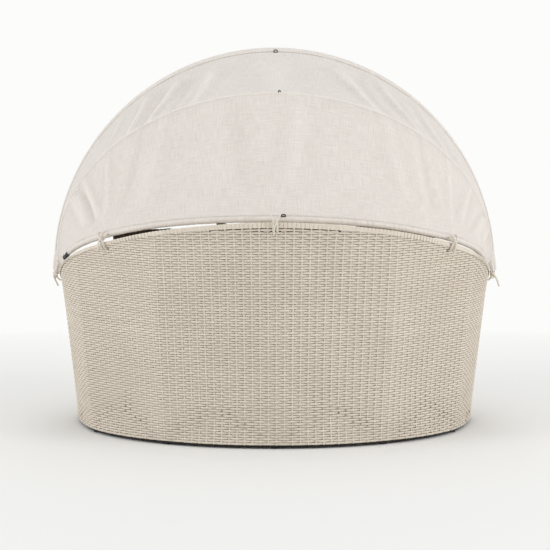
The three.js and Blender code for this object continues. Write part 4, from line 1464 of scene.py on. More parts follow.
@dataclass
class Framework:
    """Painted bars, boards and feet, which keep the CAD model's shapes or get rounder ones."""

    weave: Weave
    bar_inset: float = 0.0085
    bar_depth: float = 0.020
    bar_height: float = 0.012
    bar_ease: float = 0.0012
    foot_profile: tuple[tuple[float, float], ...] = (
        (0.011, 0.0), (0.0132, 0.0004), (0.014, 0.0014), (0.0138, 0.0036), (0.0126, 0.0046), (0.0084, 0.0047),
        (0.008, 0.0052),
    )

    def build(self) -> None:
        """Dresses the CAD nodes that stay, and makes the feet and the bars round the foot."""
        for name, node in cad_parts.items():
            finish = self.finish_of(name)
            if finish:
                node.data.materials.clear()
                node.data.materials.append(finish.material())
        self.foot_bars()
        for half, body in (("rear", Body.REAR), ("front", Body.FRONT)):
            shell = Shell()
            names = [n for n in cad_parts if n.startswith(f"{half}_foot_") and n[-1].isdigit()]
            for name in sorted(names):
                low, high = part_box(name)
                centre = np.array([(low.x + high.x) / 2, (low.y + high.y) / 2, low.z])
                stem = (self.foot_profile[-1][0], high.z - low.z)
                shell.lathe([*self.foot_profile, stem], centre, UP, 28)
            dress(shell.made(f"{half}_feet", sharp=50), BLACK_PLASTIC, body, names)

    def foot_bars(self) -> None:
        """The bars round the foot, bent with the skin."""
        plan, weave = self.weave.plan, self.weave
        half_depth, half_height, ease = self.bar_depth / 2, self.bar_height / 2, self.bar_ease
        middle, level = self.bar_inset + half_depth, plan.foot_bar_top - half_height
        arm = plan.arm_reach / weave.stake_pitch
        corners = plan.wall(middle, lambda rim: np.full(len(rim), level))
        rear = weave.line(corners, [arm, *weave.facets, arm], self.bar_inset)["points"]
        rear[0][1] = rear[-1][1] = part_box("rear_foot_bar")[0].y + half_depth
        front = weave.line(plan.front(middle, level), [*weave.facets, 4.0], self.bar_inset)["points"][:-1]
        quarter = [(half_depth, half_height - ease), (half_depth - ease, half_height)]
        upper = quarter + [(-x, z) for x, z in quarter[::-1]]
        profile = np.array([(-x, -z) for x, z in upper] + upper)
        for name, path, body in (("rear", rear, Body.REAR), ("front", front, Body.FRONT)):
            ahead = np.roll(path, -1, axis=0) - np.roll(path, 1, axis=0)
            ahead[0], ahead[-1] = path[1] - path[0], path[-1] - path[-2]
            shell = Shell()
            shell.sweep(path, profile, facing_out(ahead), closed=True)
            piece = shell.made(f"{name}_foot_rail", sharp=40)
            dress(piece, DARK_PAINT, body, [f"{name}_foot_bar"])

    def finish_of(self, name: str) -> Finish | None:
        """The finish of a CAD node that stays.

        Args:
            name: The node's name.

        Returns:
            The finish, or None for a node that a piece replaces.
        """
        if "deck" in name:
            return DECK_BOARD
        if "bracket" in name or "bolt" in name:
            return BRIGHT_STEEL
        if any(part in name for part in ("bar", "post", "tube", "hoop")):
            return DARK_PAINT
        return None


# The hood


@dataclass
class Fold:
    """One soft ridge in a panel: its angles at the middle and the other hoop, its width and height."""

    start: float
    end: float
    width: float
    height: float


@dataclass(frozen=True)
class Hoop:
    """A tube bent to a half circle: its radius, its tilt above the level in degrees, and its body."""

    name: str
    radius: float
    angle: float
    body: Body


@dataclass
class HoodPlan:
    """Where the hoops of the hood stand, as the CAD model has them."""

    hinge_height: float = 0.609
    tube_radius: float = 0.0095
    tail: float = 0.014
    front: Hoop = Hoop("front_hoop", 0.890, 90.0, Body.FRONT_HOOP)
    middle: Hoop = Hoop("middle_hoop", 0.868, 48.6, Body.MIDDLE_HOOP)
    hem: Hoop = Hoop(
        "hem_hoop", 0.846, math.degrees(math.asin((0.789 + 0.0165 - 0.609) / 0.846)), Body.REAR
    )
    hem_places: tuple[float, ...] = (0, 10, 20, 30, 60, 75, 90, 130, 145, 155, 168, 180)
    hem_lifts: tuple[float, ...] = (
        0, 0.003, 0.0065, 0.007, 0.0065, 0.0035, 0, 0, 0.0035, 0.0065, 0.0035, 0,
    )

    def near(
        self, hoop: Hoop, along: np.ndarray, distance: object = 0.0, way_round: object = 0.0
    ) -> np.ndarray:
        """Points near a hoop.

        Args:
            hoop: The hoop.
            along: The places along it, in radians from +X.
            distance: The distance from the tube's middle.
            way_round: The way round the tube in degrees: 0 is straight out, 90 towards the front.

        Returns:
            The points, one row each.
        """
        tilt, turn = math.radians(hoop.angle), np.radians(way_round)
        reach = hoop.radius + distance * np.cos(turn)
        across = distance * np.sin(turn)
        up = reach * np.sin(along)
        bent = np.interp(np.degrees(along), self.hem_places, self.hem_lifts) if hoop is self.hem else 0.0
        return np.column_stack([
            reach * np.cos(along),
            up * math.cos(tilt) - across * math.sin(tilt),
            self.hinge_height + up * math.sin(tilt) + across * math.cos(tilt) + bent,
        ])


@dataclass
class Hoops:
    """Three painted tubes bent to half circles, with plugs at their ends and bolts at the hinges."""

    plan: HoodPlan
    steps: int = 120
    sides: int = 20
    bolt_sides: int = 28
    seat_gap: float = 0.0003
    plug_shares: tuple[float, ...] = (0.9, 1.04, 1.04, 0.8, 0.3)
    plug_levels: tuple[float, ...] = (-0.0002, 0.0, 0.0012, 0.0022, 0.0027)
    bolt_radius: float = 0.004
    head_profile: tuple[tuple[float, float], ...] = (
        (0.0092, 0.0), (0.0092, 0.0005), (0.0076, 0.0007), (0.0070, 0.0016), (0.0045, 0.0022),
        (0.002, 0.0024),
    )

    def build(self) -> None:
        """Makes the tubes and the bolts."""
        plan = self.plan
        plug = [(plan.tube_radius * share, level) for share, level in zip(self.plug_shares, self.plug_levels)]
        for hoop in (plan.front, plan.middle, plan.hem):
            arc = plan.near(hoop, np.linspace(0, math.pi, self.steps + 1))
            tilt = math.radians(hoop.angle)
            down = plan.tail * np.array([0, -math.cos(tilt), -math.sin(tilt)])
            shell = Shell()
            path = np.vstack([arc[0] + down, arc, arc[-1] + down])
            shell.sweep(path, circle(plan.tube_radius, self.sides))
            for end, inner in ((path[0], path[1]), (path[-1], path[-2])):
                shell.lathe(plug, end, unit(end - inner), self.sides)
            dress(shell.made(f"{hoop.name}_tube", sharp=40), DARK_PAINT, hoop.body, [hoop.name])
        for name, side in (("left", 1.0), ("right", -1.0)):
            low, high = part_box(f"pivot_bolt_{name}")
            inner = low.x if side > 0 else -high.x
            seat = plan.front.radius + plan.tube_radius + self.seat_gap
            shank = [(self.bolt_radius - 0.0005, inner), (self.bolt_radius, inner + 0.0005)]
            head = [(radius, seat + level) for radius, level in self.head_profile]
            shell = Shell()
            shell.lathe(
                [*shank, (self.bolt_radius, seat - 0.0001), *head], UP * plan.hinge_height,
                np.array([side, 0, 0]), self.bolt_sides,
            )
            piece = shell.made(f"pivot_{name}", sharp=35)
            dress(piece, BRIGHT_STEEL, Body.REAR, [f"pivot_bolt_{name}"])


def end_faces(first: int, sides: int, at: range) -> Faces:
    """Faces across one end of a strip whose outer side goes on as its inner side.

    Args:
        first: The number of the end's first point.
        sides: How many points the end has.
        at: The points that a face starts from, counted from the first.

    Returns:
        The faces.
    """
    last = first + sides - 1
    return [(first + k, first + k + 1, last - 1 - k, last - k) for k in at]


@dataclass
class Hood:
    """Cloth panels between the hoops, with sewn sleeves, a seam over the middle hoop and stitches."""

    plan: HoodPlan
    columns: int = 300
    rows: int = 56
    thickness: float = 0.0013
    sleeve_radius: float = 0.0115
    end_radius: float = 0.0107
    sleeve_cloth: float = 0.0011
    sleeve_steps: int = 20
    pucker: float = 0.0003
    front_reach: float = 0.066
    hem_reach: float = 0.006
    reach_share: float = 0.42
    ridge: float = 0.0112
    ridge_turn: float = 13.0
    strap: float = 0.0105
    strap_cloth: float = 0.0007
    strap_turns: tuple[float, ...] = (-88, -64, -40, -22, -13)
    seam_turn: float = 11
    seam_rise: float = 0.0032
    front_sag: float = 0.015
    rear_sag: float = 0.010
    end_angles: tuple[float, float, float] = (1.0, 1.2, 1.3)
    notch: tuple[float, float] = (12.9, 20.2)
    stitch_pitch: float = 0.0055
    ripple: float = 0.0026
    ripples: tuple[tuple[float, float, float], ...] = (
        (23, 0.4, 0.35), (37, 2.1, 0.25), (61, 4.0, 0.2), (97, 1.3, 0.12),
    )
    fold_strength: float = 1.9
    fold_width: float = 0.8
    fold_flare: tuple[float, float] = (0.75, 0.6)
    flap: float = 0.0005
    flap_lap: float = 0.0002
    inner_flap: float = 0.0018
    tuck: float = 0.0004
    # Painted light: the fold height that gives the full painted fold shade, and the painted highlight and shade
    # beside the ridge with the distance over which it fades.
    full_fold_shade: float = 0.010
    ridge_painted_light: float = 0.75
    ridge_light_fade: float = 0.011
    front_folds: tuple[Fold, ...] = (
        Fold(42, 47.8, 1.5, 0.006), Fold(51, 56.4, 1.6, 0.009), Fold(54, 62, 2.0, -0.007),
        Fold(57.5, 66.4, 1.5, 0.010), Fold(63, 70, 2.4, -0.005), Fold(70, 75, 2.4, 0.007),
        Fold(92, 88, 6.0, 0.003), Fold(116, 104, 2.2, 0.009), Fold(121, 110, 2.2, -0.006),
        Fold(129, 115.3, 1.6, 0.010), Fold(133, 120.5, 2.0, -0.006), Fold(139.5, 128, 1.6, 0.008),
        Fold(148, 138, 2.0, 0.005),
    )
    rear_folds: tuple[Fold, ...] = (
        Fold(25, 36, 2.6, 0.005), Fold(29, 40, 2.0, -0.009), Fold(33, 42, 1.7, 0.008),
        Fold(44, 43.5, 1.6, 0.005), Fold(56, 47, 3.0, -0.004), Fold(62, 55, 3.0, 0.003),
        Fold(80, 84, 5.0, -0.003), Fold(97, 93, 4.0, 0.003), Fold(118, 126, 3.0, 0.003),
        Fold(128, 136, 2.4, -0.004), Fold(139, 140, 1.6, 0.004), Fold(150, 143, 2.0, 0.005),
        Fold(160, 150, 2.5, -0.005), Fold(166, 159, 1.4, 0.005),
    )
    gather_levels: tuple[tuple[float, ...], ...] = (
        (0.6685, 0.8740, 0.8800, 0.0090, 0.0150), (0.6675, 0.8640, 0.8900, -0.0010, 0.0240),
        (0.6640, 0.8560, 0.8980, -0.0080, 0.0310), (0.6450, 0.8490, 0.9004, -0.0122, 0.0350),
        (0.6280, 0.8500, 0.9016, -0.0136, 0.0340), (0.6140, 0.8560, 0.9028, -0.0140, 0.0330),
        (0.6060, 0.8620, 0.9020, -0.0120, 0.0320), (0.6015, 0.8680, 0.8985, -0.0080, 0.0320),
        (0.5980, 0.8730, 0.8950, -0.0020, 0.0325), (0.5955, 0.8765, 0.8920, 0.0030, 0.0330),
    )
    gather_sides: int = 72
    gather_rings: int = 33
    gather_cloth: float = 0.0012
    gather_squareness: float = 0.8

    def fold_offsets(self, folds: Sequence[Fold], along: np.ndarray, share: float) -> list[np.ndarray]:
        """How far each place is from each fold, counted in the fold's width.

        Args:
            folds: The folds.
            along: The places along the hoops, in radians.
            share: The place from the middle hoop (0) to the other hoop (1).

        Returns:
            One row of distances for each fold.
        """
        return [
            np.abs(along - math.radians(fold.start + (fold.end - fold.start) * share))
            / (math.radians(fold.width) * (self.fold_flare[0] + self.fold_flare[1] * share) * self.fold_width)
            for fold in folds
        ]

    def fold_depth(self, folds: Sequence[Fold], along: np.ndarray, share: float) -> np.ndarray:
        """How far the folds lift the cloth.

        Args:
            folds: The folds.
            along: The places along the hoops, in radians.
            share: The place from the middle hoop (0) to the other hoop (1).

        Returns:
            The lift at each place.
        """
        lift = np.zeros(len(along))
        for fold, away in zip(folds, self.fold_offsets(folds, along, share)):
            lift += self.fold_strength * fold.height * np.exp(1 - np.sqrt(1 + away ** 2 * 2))
        for count, (turns, phase, size) in enumerate(self.ripples):
            lean = (1 + 0.4 * count) * math.sin(2.3 * count + 3 * share)
            lift += self.ripple * size * np.sin(along * turns + phase + lean)
        return lift

    def painted_fold_shade(self, folds: Sequence[Fold], along: np.ndarray, share: float) -> np.ndarray:
        """Painted light and shade along the folds: paler on each crest, darker on the flank beside it.

        Args:
            folds: The folds.
            along: The places along the hoops, in radians.
            share: The place from the middle hoop (0) to the other hoop (1).

        Returns:
            The painted shade at each place, from -1 (darker) to 1 (paler).
        """
        tone = np.zeros(len(along))
        for fold, away in zip(folds, self.fold_offsets(folds, along, share)):
            # Painted highlight on the fold's crest, painted shade on its flank.
            crest = np.exp(-(1.9 * away) ** 2) - 0.5 * np.exp(-(1.4 * (away - 1.5)) ** 2)
            tone += fold.height / self.full_fold_shade * crest
        return np.clip(tone, -1, 1) * math.sin(math.pi * min(share * 1.25, 1.0)) ** 0.35

    def spread(self, low: float, high: float) -> np.ndarray:
        """Even places along a hoop between two angles in degrees."""
        return np.radians(np.linspace(low, high, max(8, round(self.columns * (high - low) / 180))))

    def over_ridge(self, along: np.ndarray, level: float, turn: float = 0.0) -> np.ndarray:
        """Points over the middle hoop, at a distance from its tube's middle and a way round it."""
        return self.plan.near(self.plan.middle, along, level, turn)

    def section(self, hoop: Hoop, along: np.ndarray, reach: float) -> Line:
        """The lines of a sleeve: where its outer side leaves the tube, and its seam.

        Args:
            hoop: The hoop.
            along: The places along it.
            reach: How far the seam is from where the outer side leaves the tube.

        Returns:
            The leaving point, the seam, the panel's normal, the sleeve's radius and its angles.
        """
        plan, ridge = self.plan, self.over_ridge(along, self.ridge)
        middle = plan.near(hoop, along)
        out, ahead = (unit(plan.near(hoop, along, 0.01, turn) - middle) for turn in (0.0, 90.0))
        step = ridge - middle
        way = np.degrees(np.arctan2((step * ahead).sum(1), (step * out).sum(1)))
        fuller = smooth_step(np.sin(along), 0.04, 0.2)
        size = self.end_radius + (self.sleeve_radius - self.end_radius) * fuller
        side = np.sign(way)
        half = np.degrees(np.arccos(np.clip(size / np.linalg.norm(step, axis=1), -1, 1)))
        leave = way - side * half
        start = plan.near(hoop, along, size, leave)
        gap = np.linalg.norm(ridge - start, axis=1)
        seam = start + unit(ridge - start) * np.minimum(reach, gap * self.reach_share)[:, None]
        return {
            "start": start, "seam": seam, "normal": unit(start - middle), "size": size, "leave": leave,
            "half": half, "side": side,
        }

    def panel(
        self, name: str, hoop: Hoop, reach: float, sag: float, folds: Sequence[Fold], towards: float
    ) -> tuple[Piece, np.ndarray]:
        """One cloth panel from the middle hoop to the seam of another hoop's sleeve.

        Args:
            name: The piece's name.
            hoop: The other hoop.
            reach: How far its seam is from the tube.
            sag: How far the cloth sags in the middle.
            folds: The folds in it.
            towards: 1 where the other hoop is in front of the middle one, -1 behind.

        Returns:
            The piece, and the share from the middle hoop (0) to the other hoop (1) for each of its points.
        """
        centre = UP * self.plan.hinge_height
        along = self.spread(self.end_angles[1], 180 - self.end_angles[1])
        rows = [self.over_ridge(along, self.ridge, towards * self.ridge_turn * k / 3) for k in range(3)]
        tones, shares = [np.zeros(len(along))] * len(rows), [0.0] * len(rows)
        sides = 1 - 0.8 * np.exp(-((np.degrees(along) - 90) / 16) ** 2)
        wrap = self.over_ridge(along, self.ridge, towards * self.ridge_turn)
        lines = self.section(hoop, along, reach)
        end = lines["seam"] - lines["normal"] * self.tuck
        outward = unit((wrap + end) / 2 - centre)
        taper = smooth_step(np.sin(along), 0.02, 0.3)
        for share in np.arange(self.rows + 1) / self.rows:
            bow = math.sin(math.pi * share)
            depth = self.fold_depth(folds, along, share) * bow ** 0.55 - sag * np.sin(along) * bow
            rows.append(wrap + (end - wrap) * share + outward * (depth * taper)[:, None])
            shares.append(share)
            from_ridge = share * np.linalg.norm(end - wrap, axis=1)
            # Painted light beside the ridge: paler on the front panel, darker on the rear one, weaker at the
            # top.
            edge = towards * self.ridge_painted_light * sides * np.exp(-from_ridge / self.ridge_light_fade)
            tones.append(self.painted_fold_shade(folds, along, share) * taper + edge)
        grid = np.array(rows)
        u = np.repeat((along * hoop.radius)[None], len(rows), axis=0)
        v = np.repeat(steps_along(grid[:, len(along) // 2])[:, None], len(along), axis=1)
        shell = Shell()
        shell.grid(grid, np.stack([u, v], axis=-1))
        piece = shell.made(name, outward=False)
        mesh = piece.data
        # The painted fold and ridge light and shade, stored as a point attribute for the cloth.
        painted_fold_shade = mesh.attributes.new(FOLD_SHADE, "FLOAT", "POINT")
        painted_fold_shade.data.foreach_set("value", np.array(tones, np.float32).ravel())
        face = mesh.polygons[len(mesh.polygons) // 2]
        if face.normal.dot(face.center - Vector(centre)) < 0:
            mesh.flip_normals()
        solid = piece.modifiers.new("cloth", "SOLIDIFY")
        solid.thickness, solid.offset = self.thickness, 0.0
        return piece, np.repeat(shares, len(along))

    def sleeve(self, name: str, hoop: Hoop, reach: float, spans: Sequence[tuple[float, float]]) -> Piece:
        """A sewn sleeve round a hoop, whose outer side goes on as the panel.

        Args:
            name: The piece's name.
            hoop: The hoop.
            reach: How far the seam is from the tube.
            spans: The stretches along the hoop that it covers, in degrees.

        Returns:
            The piece.
        """
        shell = Shell()
        for low, high in spans:
            along = self.spread(low, high)
            lines = self.section(hoop, along, reach)
            seam, normal, size = lines["seam"], lines["normal"], lines["size"]
            arc = 360 - 2 * lines["half"]
            outer = [seam + normal * self.flap, (seam + lines["start"]) / 2 + normal * self.flap]
            bore = []
            for k in range(self.sleeve_steps + 1):
                turn = lines["leave"] - lines["side"] * arc * k / self.sleeve_steps
                pucker = self.pucker * np.sin(along * 190 + k / 2) + self.pucker * np.sin(along * 71 + k / 3)
                fullness = 1 - (2 * k / self.sleeve_steps - 1) ** 2
                outer.append(self.plan.near(hoop, along, size + pucker * fullness, turn))
                bore.append(self.plan.near(hoop, along, size - self.sleeve_cloth, turn))
            tip = seam - normal * self.flap_lap
            ring = np.array([*outer, seam - normal * self.inner_flap, tip, *bore[::-1], tip])
            count, sides = len(along), len(ring)
            faces = ring_faces(count, sides, capped=False)
            for base in (0, (count - 1) * sides):
                faces.append((base, base + sides - 1, base + sides - 2, base + 1))
                faces += end_faces(base, sides, range(1, sides // 2))
            shell.add(ring.transpose(1, 0, 2).reshape(-1, 3), faces)
        piece = shell.made(name)
        mend(piece.data, merge=1e-7)
        return piece

    def build(self) -> None:
        """Makes the panels, sleeves, ridge seam, stitches and the gathered ends."""
        plan = self.plan
        front_end, _, hem_end = self.end_angles
        front, front_shares = self.panel(
            "front_canopy", plan.front, self.front_reach, self.front_sag, self.front_folds, 1
        )
        rear, rear_shares = self.panel(
            "rear_canopy", plan.hem, self.hem_reach, self.rear_sag, self.rear_folds, -1
        )
        dress(front, HOOD_CLOTH, None, ["hood_front_panel"])
        dress(rear, HOOD_CLOTH, None, ["hood_rear_panel"])
        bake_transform(front)
        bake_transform(rear)
        spans = [(front_end, 180 - front_end)]
        front_sleeve = self.sleeve("front_sleeve", plan.front, self.front_reach, spans)
        dress(front_sleeve, SLEEVE_CLOTH, Body.FRONT_HOOP, ["front_hoop_pocket"])
        spans = [(hem_end, self.notch[0]), (self.notch[1], 180 - hem_end)]
        hem_sleeve = self.sleeve("hem_sleeve", plan.hem, self.hem_reach, spans)
        dress(hem_sleeve, SLEEVE_CLOTH, Body.REAR, ["hem_pocket"])
        # The front sleeve's stitches are dark brown: a painted shadow line along its seam.
        front_stitch = self.seam_stitches("front_sleeve_shadow_stitches", plan.front, self.front_reach, SEAM_SHADOW_THREAD)
        hem_stitch = self.seam_stitches("hem_sleeve_stitches", plan.hem, self.hem_reach, STITCH_THREAD)
        seam = self.ridge_seam()
        ends = [self.gathered_end(name, side) for name, side in (("left", 1.0), ("right", -1.0))]

    def seam_stitches(self, name: str, hoop: Hoop, reach: float, thread: TwistedYarn) -> Piece:
        """Stitches along a sleeve's seam, on its outer side."""
        lines = self.section(hoop, self.spread(5, 175), reach - 0.0015)
        path = lines["seam"] + lines["normal"] * (self.flap + self.flap_lap)
        return dress(stitches(name, path, self.stitch_pitch, thread), thread, hoop.body)

    def ridge_seam(self) -> Piece:
        """The strap over the middle hoop, with the narrow folded seam that joins both panels on it.

        Returns:
            The piece.
        """
        along = self.spread(self.end_angles[1] + 0.5, 179.5 - self.end_angles[1])
        wide = np.array(self.strap_turns)
        turns = np.concatenate([wide, np.linspace(-self.seam_turn, self.seam_turn, 7), -wide[::-1]])
        flank = np.full(len(wide), self.strap)
        raised = self.ridge + 0.0004 + self.seam_rise * np.cos(np.linspace(-1.2, 1.2, 7))
        outer = [self.over_ridge(along, *spot) for spot in zip(np.concatenate([flank, raised, flank]), turns)]
        inner = [self.over_ridge(along, self.strap - self.strap_cloth, turn) for turn in turns[::-1]]
        ring = np.array(outer + inner)
        count, sides = len(along), len(ring)
        faces = ring_faces(count, sides, capped=False)
        for base in (0, (count - 1) * sides):
            faces += end_faces(base, sides, range(sides // 2 - 1))
        shell = Shell()
        shell.add(ring.transpose(1, 0, 2).reshape(-1, 3), faces)
        # The paler ridge linen paints a highlight along the ridge.
        return dress(shell.made("ridge_seam", sharp=50), RIDGE_HIGHLIGHT_CLOTH, Body.MIDDLE_HOOP)

    def gathered_end(self, name: str, side: float) -> Piece:
        """The cloth gathered round the hoops' ends at a hinge, down to its tie.

        Args:
            name: The side's name.
            side: 1 for +X, -1 for -X.

        Returns:
            The piece.
        """
        levels, steps = np.array(self.gather_levels), self.gather_sides
        turn = np.linspace(0, 2 * np.pi, steps, endpoint=False)
        ways = (np.cos(turn), np.sin(turn))
        round_x, round_y = (np.sign(way) * np.abs(way) ** self.gather_squareness for way in ways)
        at = np.linspace(0, len(levels) - 1, self.gather_rings)
        table = np.column_stack([np.interp(at, range(len(levels)), column) for column in levels.T])
        skins = []
        for inset in (0.0, self.gather_cloth):
            rings = []
            for share, (z, near_x, far_x, front_y, back_y) in zip(np.linspace(0, 1, len(at)), table):
                wave = (0.01 + 0.10 * share) * np.sin(turn * 9 + 2.2 * share)
                gather = 1 + wave * smooth_step(share, 0.05, 0.5)
                half_x = ((far_x - near_x) / 2 - inset) * gather
                half_y = ((back_y - front_y) / 2 - inset) * gather
                x = side * ((near_x + far_x) / 2 + half_x * round_x)
                y = (front_y + back_y) / 2 + half_y * round_y
                rings.append(np.column_stack([x, y, np.full(steps, z)]))
            skins.append(np.array(rings))
        layers = np.concatenate([skins[0], skins[1][::-1]])
        shell = Shell()
        shell.add(layers.reshape(-1, 3), ring_faces(len(layers), steps, closed=True))
        return dress(shell.made(f"gathered_end_{name}"), SLEEVE_CLOTH, Body.REAR)


# Ties and rings


@dataclass
class Tie:
    """One cord from the hem, knotted over the rim and threaded through the weave."""

    name: str
    hem_angle: float
    rim_angle: float
    drop: float
    out: float
    lean: float
    swing: float = 0.0


@dataclass
class Ties:
    """The five cords that hold the hem to the rim. The routes are the CAD model's own."""

    tub: TubPlan
    hood: HoodPlan
    diameter: float = 0.0066
    sides: int = 12
    knot_radius: float = 0.0105
    knot_share: float = 0.40
    end_knot_extra: float = 0.0045
    hole_spacing: float = 0.014
    hole_drop: float = 0.024
    tail: float = 0.046
    seated: float = 0.0003
    pocket: float = 0.0121
    weave_thickness: float = 0.004
    aside: float = 0.005
    ties: tuple[Tie, ...] = (
        Tie("tie_left_end", 4.2, 2.6, 0.002, 0.0085, 0.09, -0.012),
        Tie("tie_left", 44.8, 44.2, -0.012, 0.0, -0.42),
        Tie("tie_centre", 90.0, 90.2, 0.001, 0.0, -0.12),
        Tie("tie_right", 138.2, 138.5, -0.002, 0.0, -0.11),
        Tie("tie_right_end", 175.8, 177.4, 0.006, 0.004, -0.17, 0.026),
    )
    straps: tuple[tuple[float, float], ...] = ((-1.0, 0.017), (1.0, 0.020))
    strap_route: tuple[tuple[float, float, float], ...] = (
        (0.001, 0.003, -0.004), (0.004, 0.005, 0.004), (0.009, 0.003, 0.010),
    )

    def build(self) -> None:
        """Makes the cords and their knots."""
        for tie in self.ties:
            path = spline(self.route(tie), 6)
            piece = self.cord(f"{tie.name}_cord", path)
            dress(piece, TIE_YARN, Body.REAR, [tie.name])
            knot = self.knot(tie)

    def holes(self) -> tuple[tuple[float, float, float], ...]:
        """Where the cords pass between the strands."""
        return tuple(tuple(float(v) for v in hole) for tie in self.ties for hole in self.spots(tie)[3])

    def spots(self, tie: Tie) -> tuple[np.ndarray, np.ndarray, np.ndarray, list[np.ndarray]]:
        """Where a tie meets the rim.

        Args:
            tie: The tie.

        Returns:
            Its outward and sideways directions, its knot and its two holes.
        """
        angle = math.radians(tie.rim_angle)
        outward = np.array([math.cos(angle), math.sin(angle), 0.0])
        sideways = np.array([-outward[1], outward[0], 0.0])
        knot = self.tub.spot(tie.rim_angle, 0) + outward * (self.knot_radius + tie.out + self.seated)
        knot[2] += self.tub.border_lift(knot[0]) - tie.drop
        hole = self.tub.spot(tie.rim_angle, self.hole_drop)
        return outward, sideways, knot, [hole + sideways * side * self.hole_spacing / 2 for side in (-1, 1)]

    def route(self, tie: Tie) -> list[np.ndarray]:
        """The points that a tie passes.

        Args:
            tie: The tie.

        Returns:
            The points: off the hem, through the knot, the weave and the knot again, to its end.
        """
        outward, sideways, knot, (a, b) = self.spots(tie)
        along, hem = np.array([math.radians(tie.hem_angle)]), self.hood.hem
        gaps = (self.seated, self.diameter)
        sewn = [self.hood.near(hem, along, self.pocket + gap, -hem.angle)[0] for gap in gaps]
        inside = -outward * (self.weave_thickness + self.diameter / 2 + self.seated)
        outside = outward * self.diameter * 0.7
        over = self.tub.spot(tie.rim_angle, -self.diameter * 0.75)
        over[2] += self.tub.border_lift(over[0])
        end = knot + sideways * tie.lean * self.tail - UP * self.tail + outward * tie.swing
        bend = knot + (end - knot) * 0.4 + outward * self.diameter * 0.6
        aside, front = sideways * self.aside, outward * self.aside
        return [
            *sewn, over, knot - aside, a + outside, a + inside, b + inside, b + outside, knot + aside + front,
            bend + front * 0.5, end,
        ]

    def cord(self, name: str, path: np.ndarray) -> Piece:
        """A flattened cord along a path, with its own way along and round as UV map.

        Args:
            name: The piece's name.
            path: The cord's middle line.

        Returns:
            The piece.
        """
        shell, sides = Shell(), self.sides
        shell.sweep(path, circle(self.diameter / 2, sides) * np.array([1.25, 0.75]))
        piece = shell.made(name)
        steps = steps_along(path)
        layer = piece.data.uv_layers.new(name="UVMap")
        for polygon in piece.data.polygons:
            corners = [piece.data.loops[i].vertex_index for i in polygon.loop_indices]
            rounds = [v % sides for v in corners]
            seam = max(rounds) - min(rounds) > sides / 2
            for loop, vertex, turn in zip(polygon.loop_indices, corners, rounds):
                lap = turn + sides if seam and turn < sides / 2 else turn
                layer.data[loop].uv = (steps[vertex // sides], lap / sides)
        return piece

    def knot(self, tie: Tie) -> Piece:
        """The knot: three crossing turns of the same cord, pulled tight, and straps up to the hem.

        Args:
            tie: The tie. One at an arm's end has a thicker knot and no straps.

        Returns:
            The piece.
        """
        outward, sideways, knot, _ = self.spots(tie)
        t = np.linspace(0, 2 * np.pi, 73)[:-1]
        size = (self.knot_radius + (self.end_knot_extra if tie.out else 0)) * self.knot_share
        x = (np.sin(t) + 2 * np.sin(2 * t)) * size * 0.62
        z = (np.cos(t) - 2 * np.cos(2 * t)) * size * 0.62
        y = -np.sin(3 * t) * size * 0.9
        points = knot + outward * y[:, None] + sideways * x[:, None] + UP * z[:, None]
        shell = Shell()
        shell.sweep(points, circle(self.diameter * (0.66 if tie.out else 0.50), 12), closed=True)
        for lean, high in () if tie.out else self.straps:
            route = [*self.strap_route, (0.014, 0.001, high), (0.016, -0.006, high + 0.004)]
            strap = np.array([knot + sideways * lean * x + outward * y + UP * z for x, y, z in route])
            shell.sweep(spline(strap, 6), circle(self.diameter / 2, 10) * np.array([1.2, 0.7]))
        return dress(shell.made(f"{tie.name}_knot"), KNOT_YARN, Body.REAR)


@dataclass
class Rings:
    """Small bent-wire rings on the hood's centre line: each has its body, centre, lean and turn."""

    wire: float = 0.0021
    outline: tuple[tuple[float, float], ...] = (
        (-0.0066, -0.0062), (0.0066, -0.0062), (0.0068, 0.0), (0.0042, 0.0062), (-0.0042, 0.0062),
        (-0.0068, 0.0),
    )
    places: tuple[tuple[str, Body, tuple[float, float, float], float, float], ...] = (
        ("ring_front", Body.FRONT_HOOP, (-0.0045, 0.070, 1.4870), -35.0, 5.0),
        ("ring_ridge", Body.MIDDLE_HOOP, (-0.0180, 0.577, 1.2715), 20.0, 55.0),
        ("ring_hem", Body.REAR, (-0.0310, 0.8365, 0.8190), 60.0, 0.0),
    )

    def build(self) -> None:
        """Makes the rings."""
        for name, body, centre, lean, turn in self.places:
            up = np.array([0, math.sin(math.radians(lean)), math.cos(math.radians(lean))])
            side = np.array([math.cos(math.radians(turn)), math.sin(math.radians(turn)), 0])
            path = spline([*self.outline, self.outline[0]], 6)[:-1]
            shell = Shell()
            points = np.array(centre) + side * path[:, :1] + up * path[:, 1:]
            shell.sweep(points, circle(self.wire, 10), closed=True)
            dress(shell.made(f"{name}_wire"), BLACK_PLASTIC, body, [name])


# Cushions and pillows


def points_of(piece: Piece) -> np.ndarray:
    """The points of a piece's mesh, one row each."""
    return np.array([v.co for v in piece.data.vertices])


def move_points(piece: Piece, points: np.ndarray) -> None:
    """Gives the points of a piece's mesh new places."""
    piece.data.vertices.foreach_set("co", points.astype(np.float32).ravel())


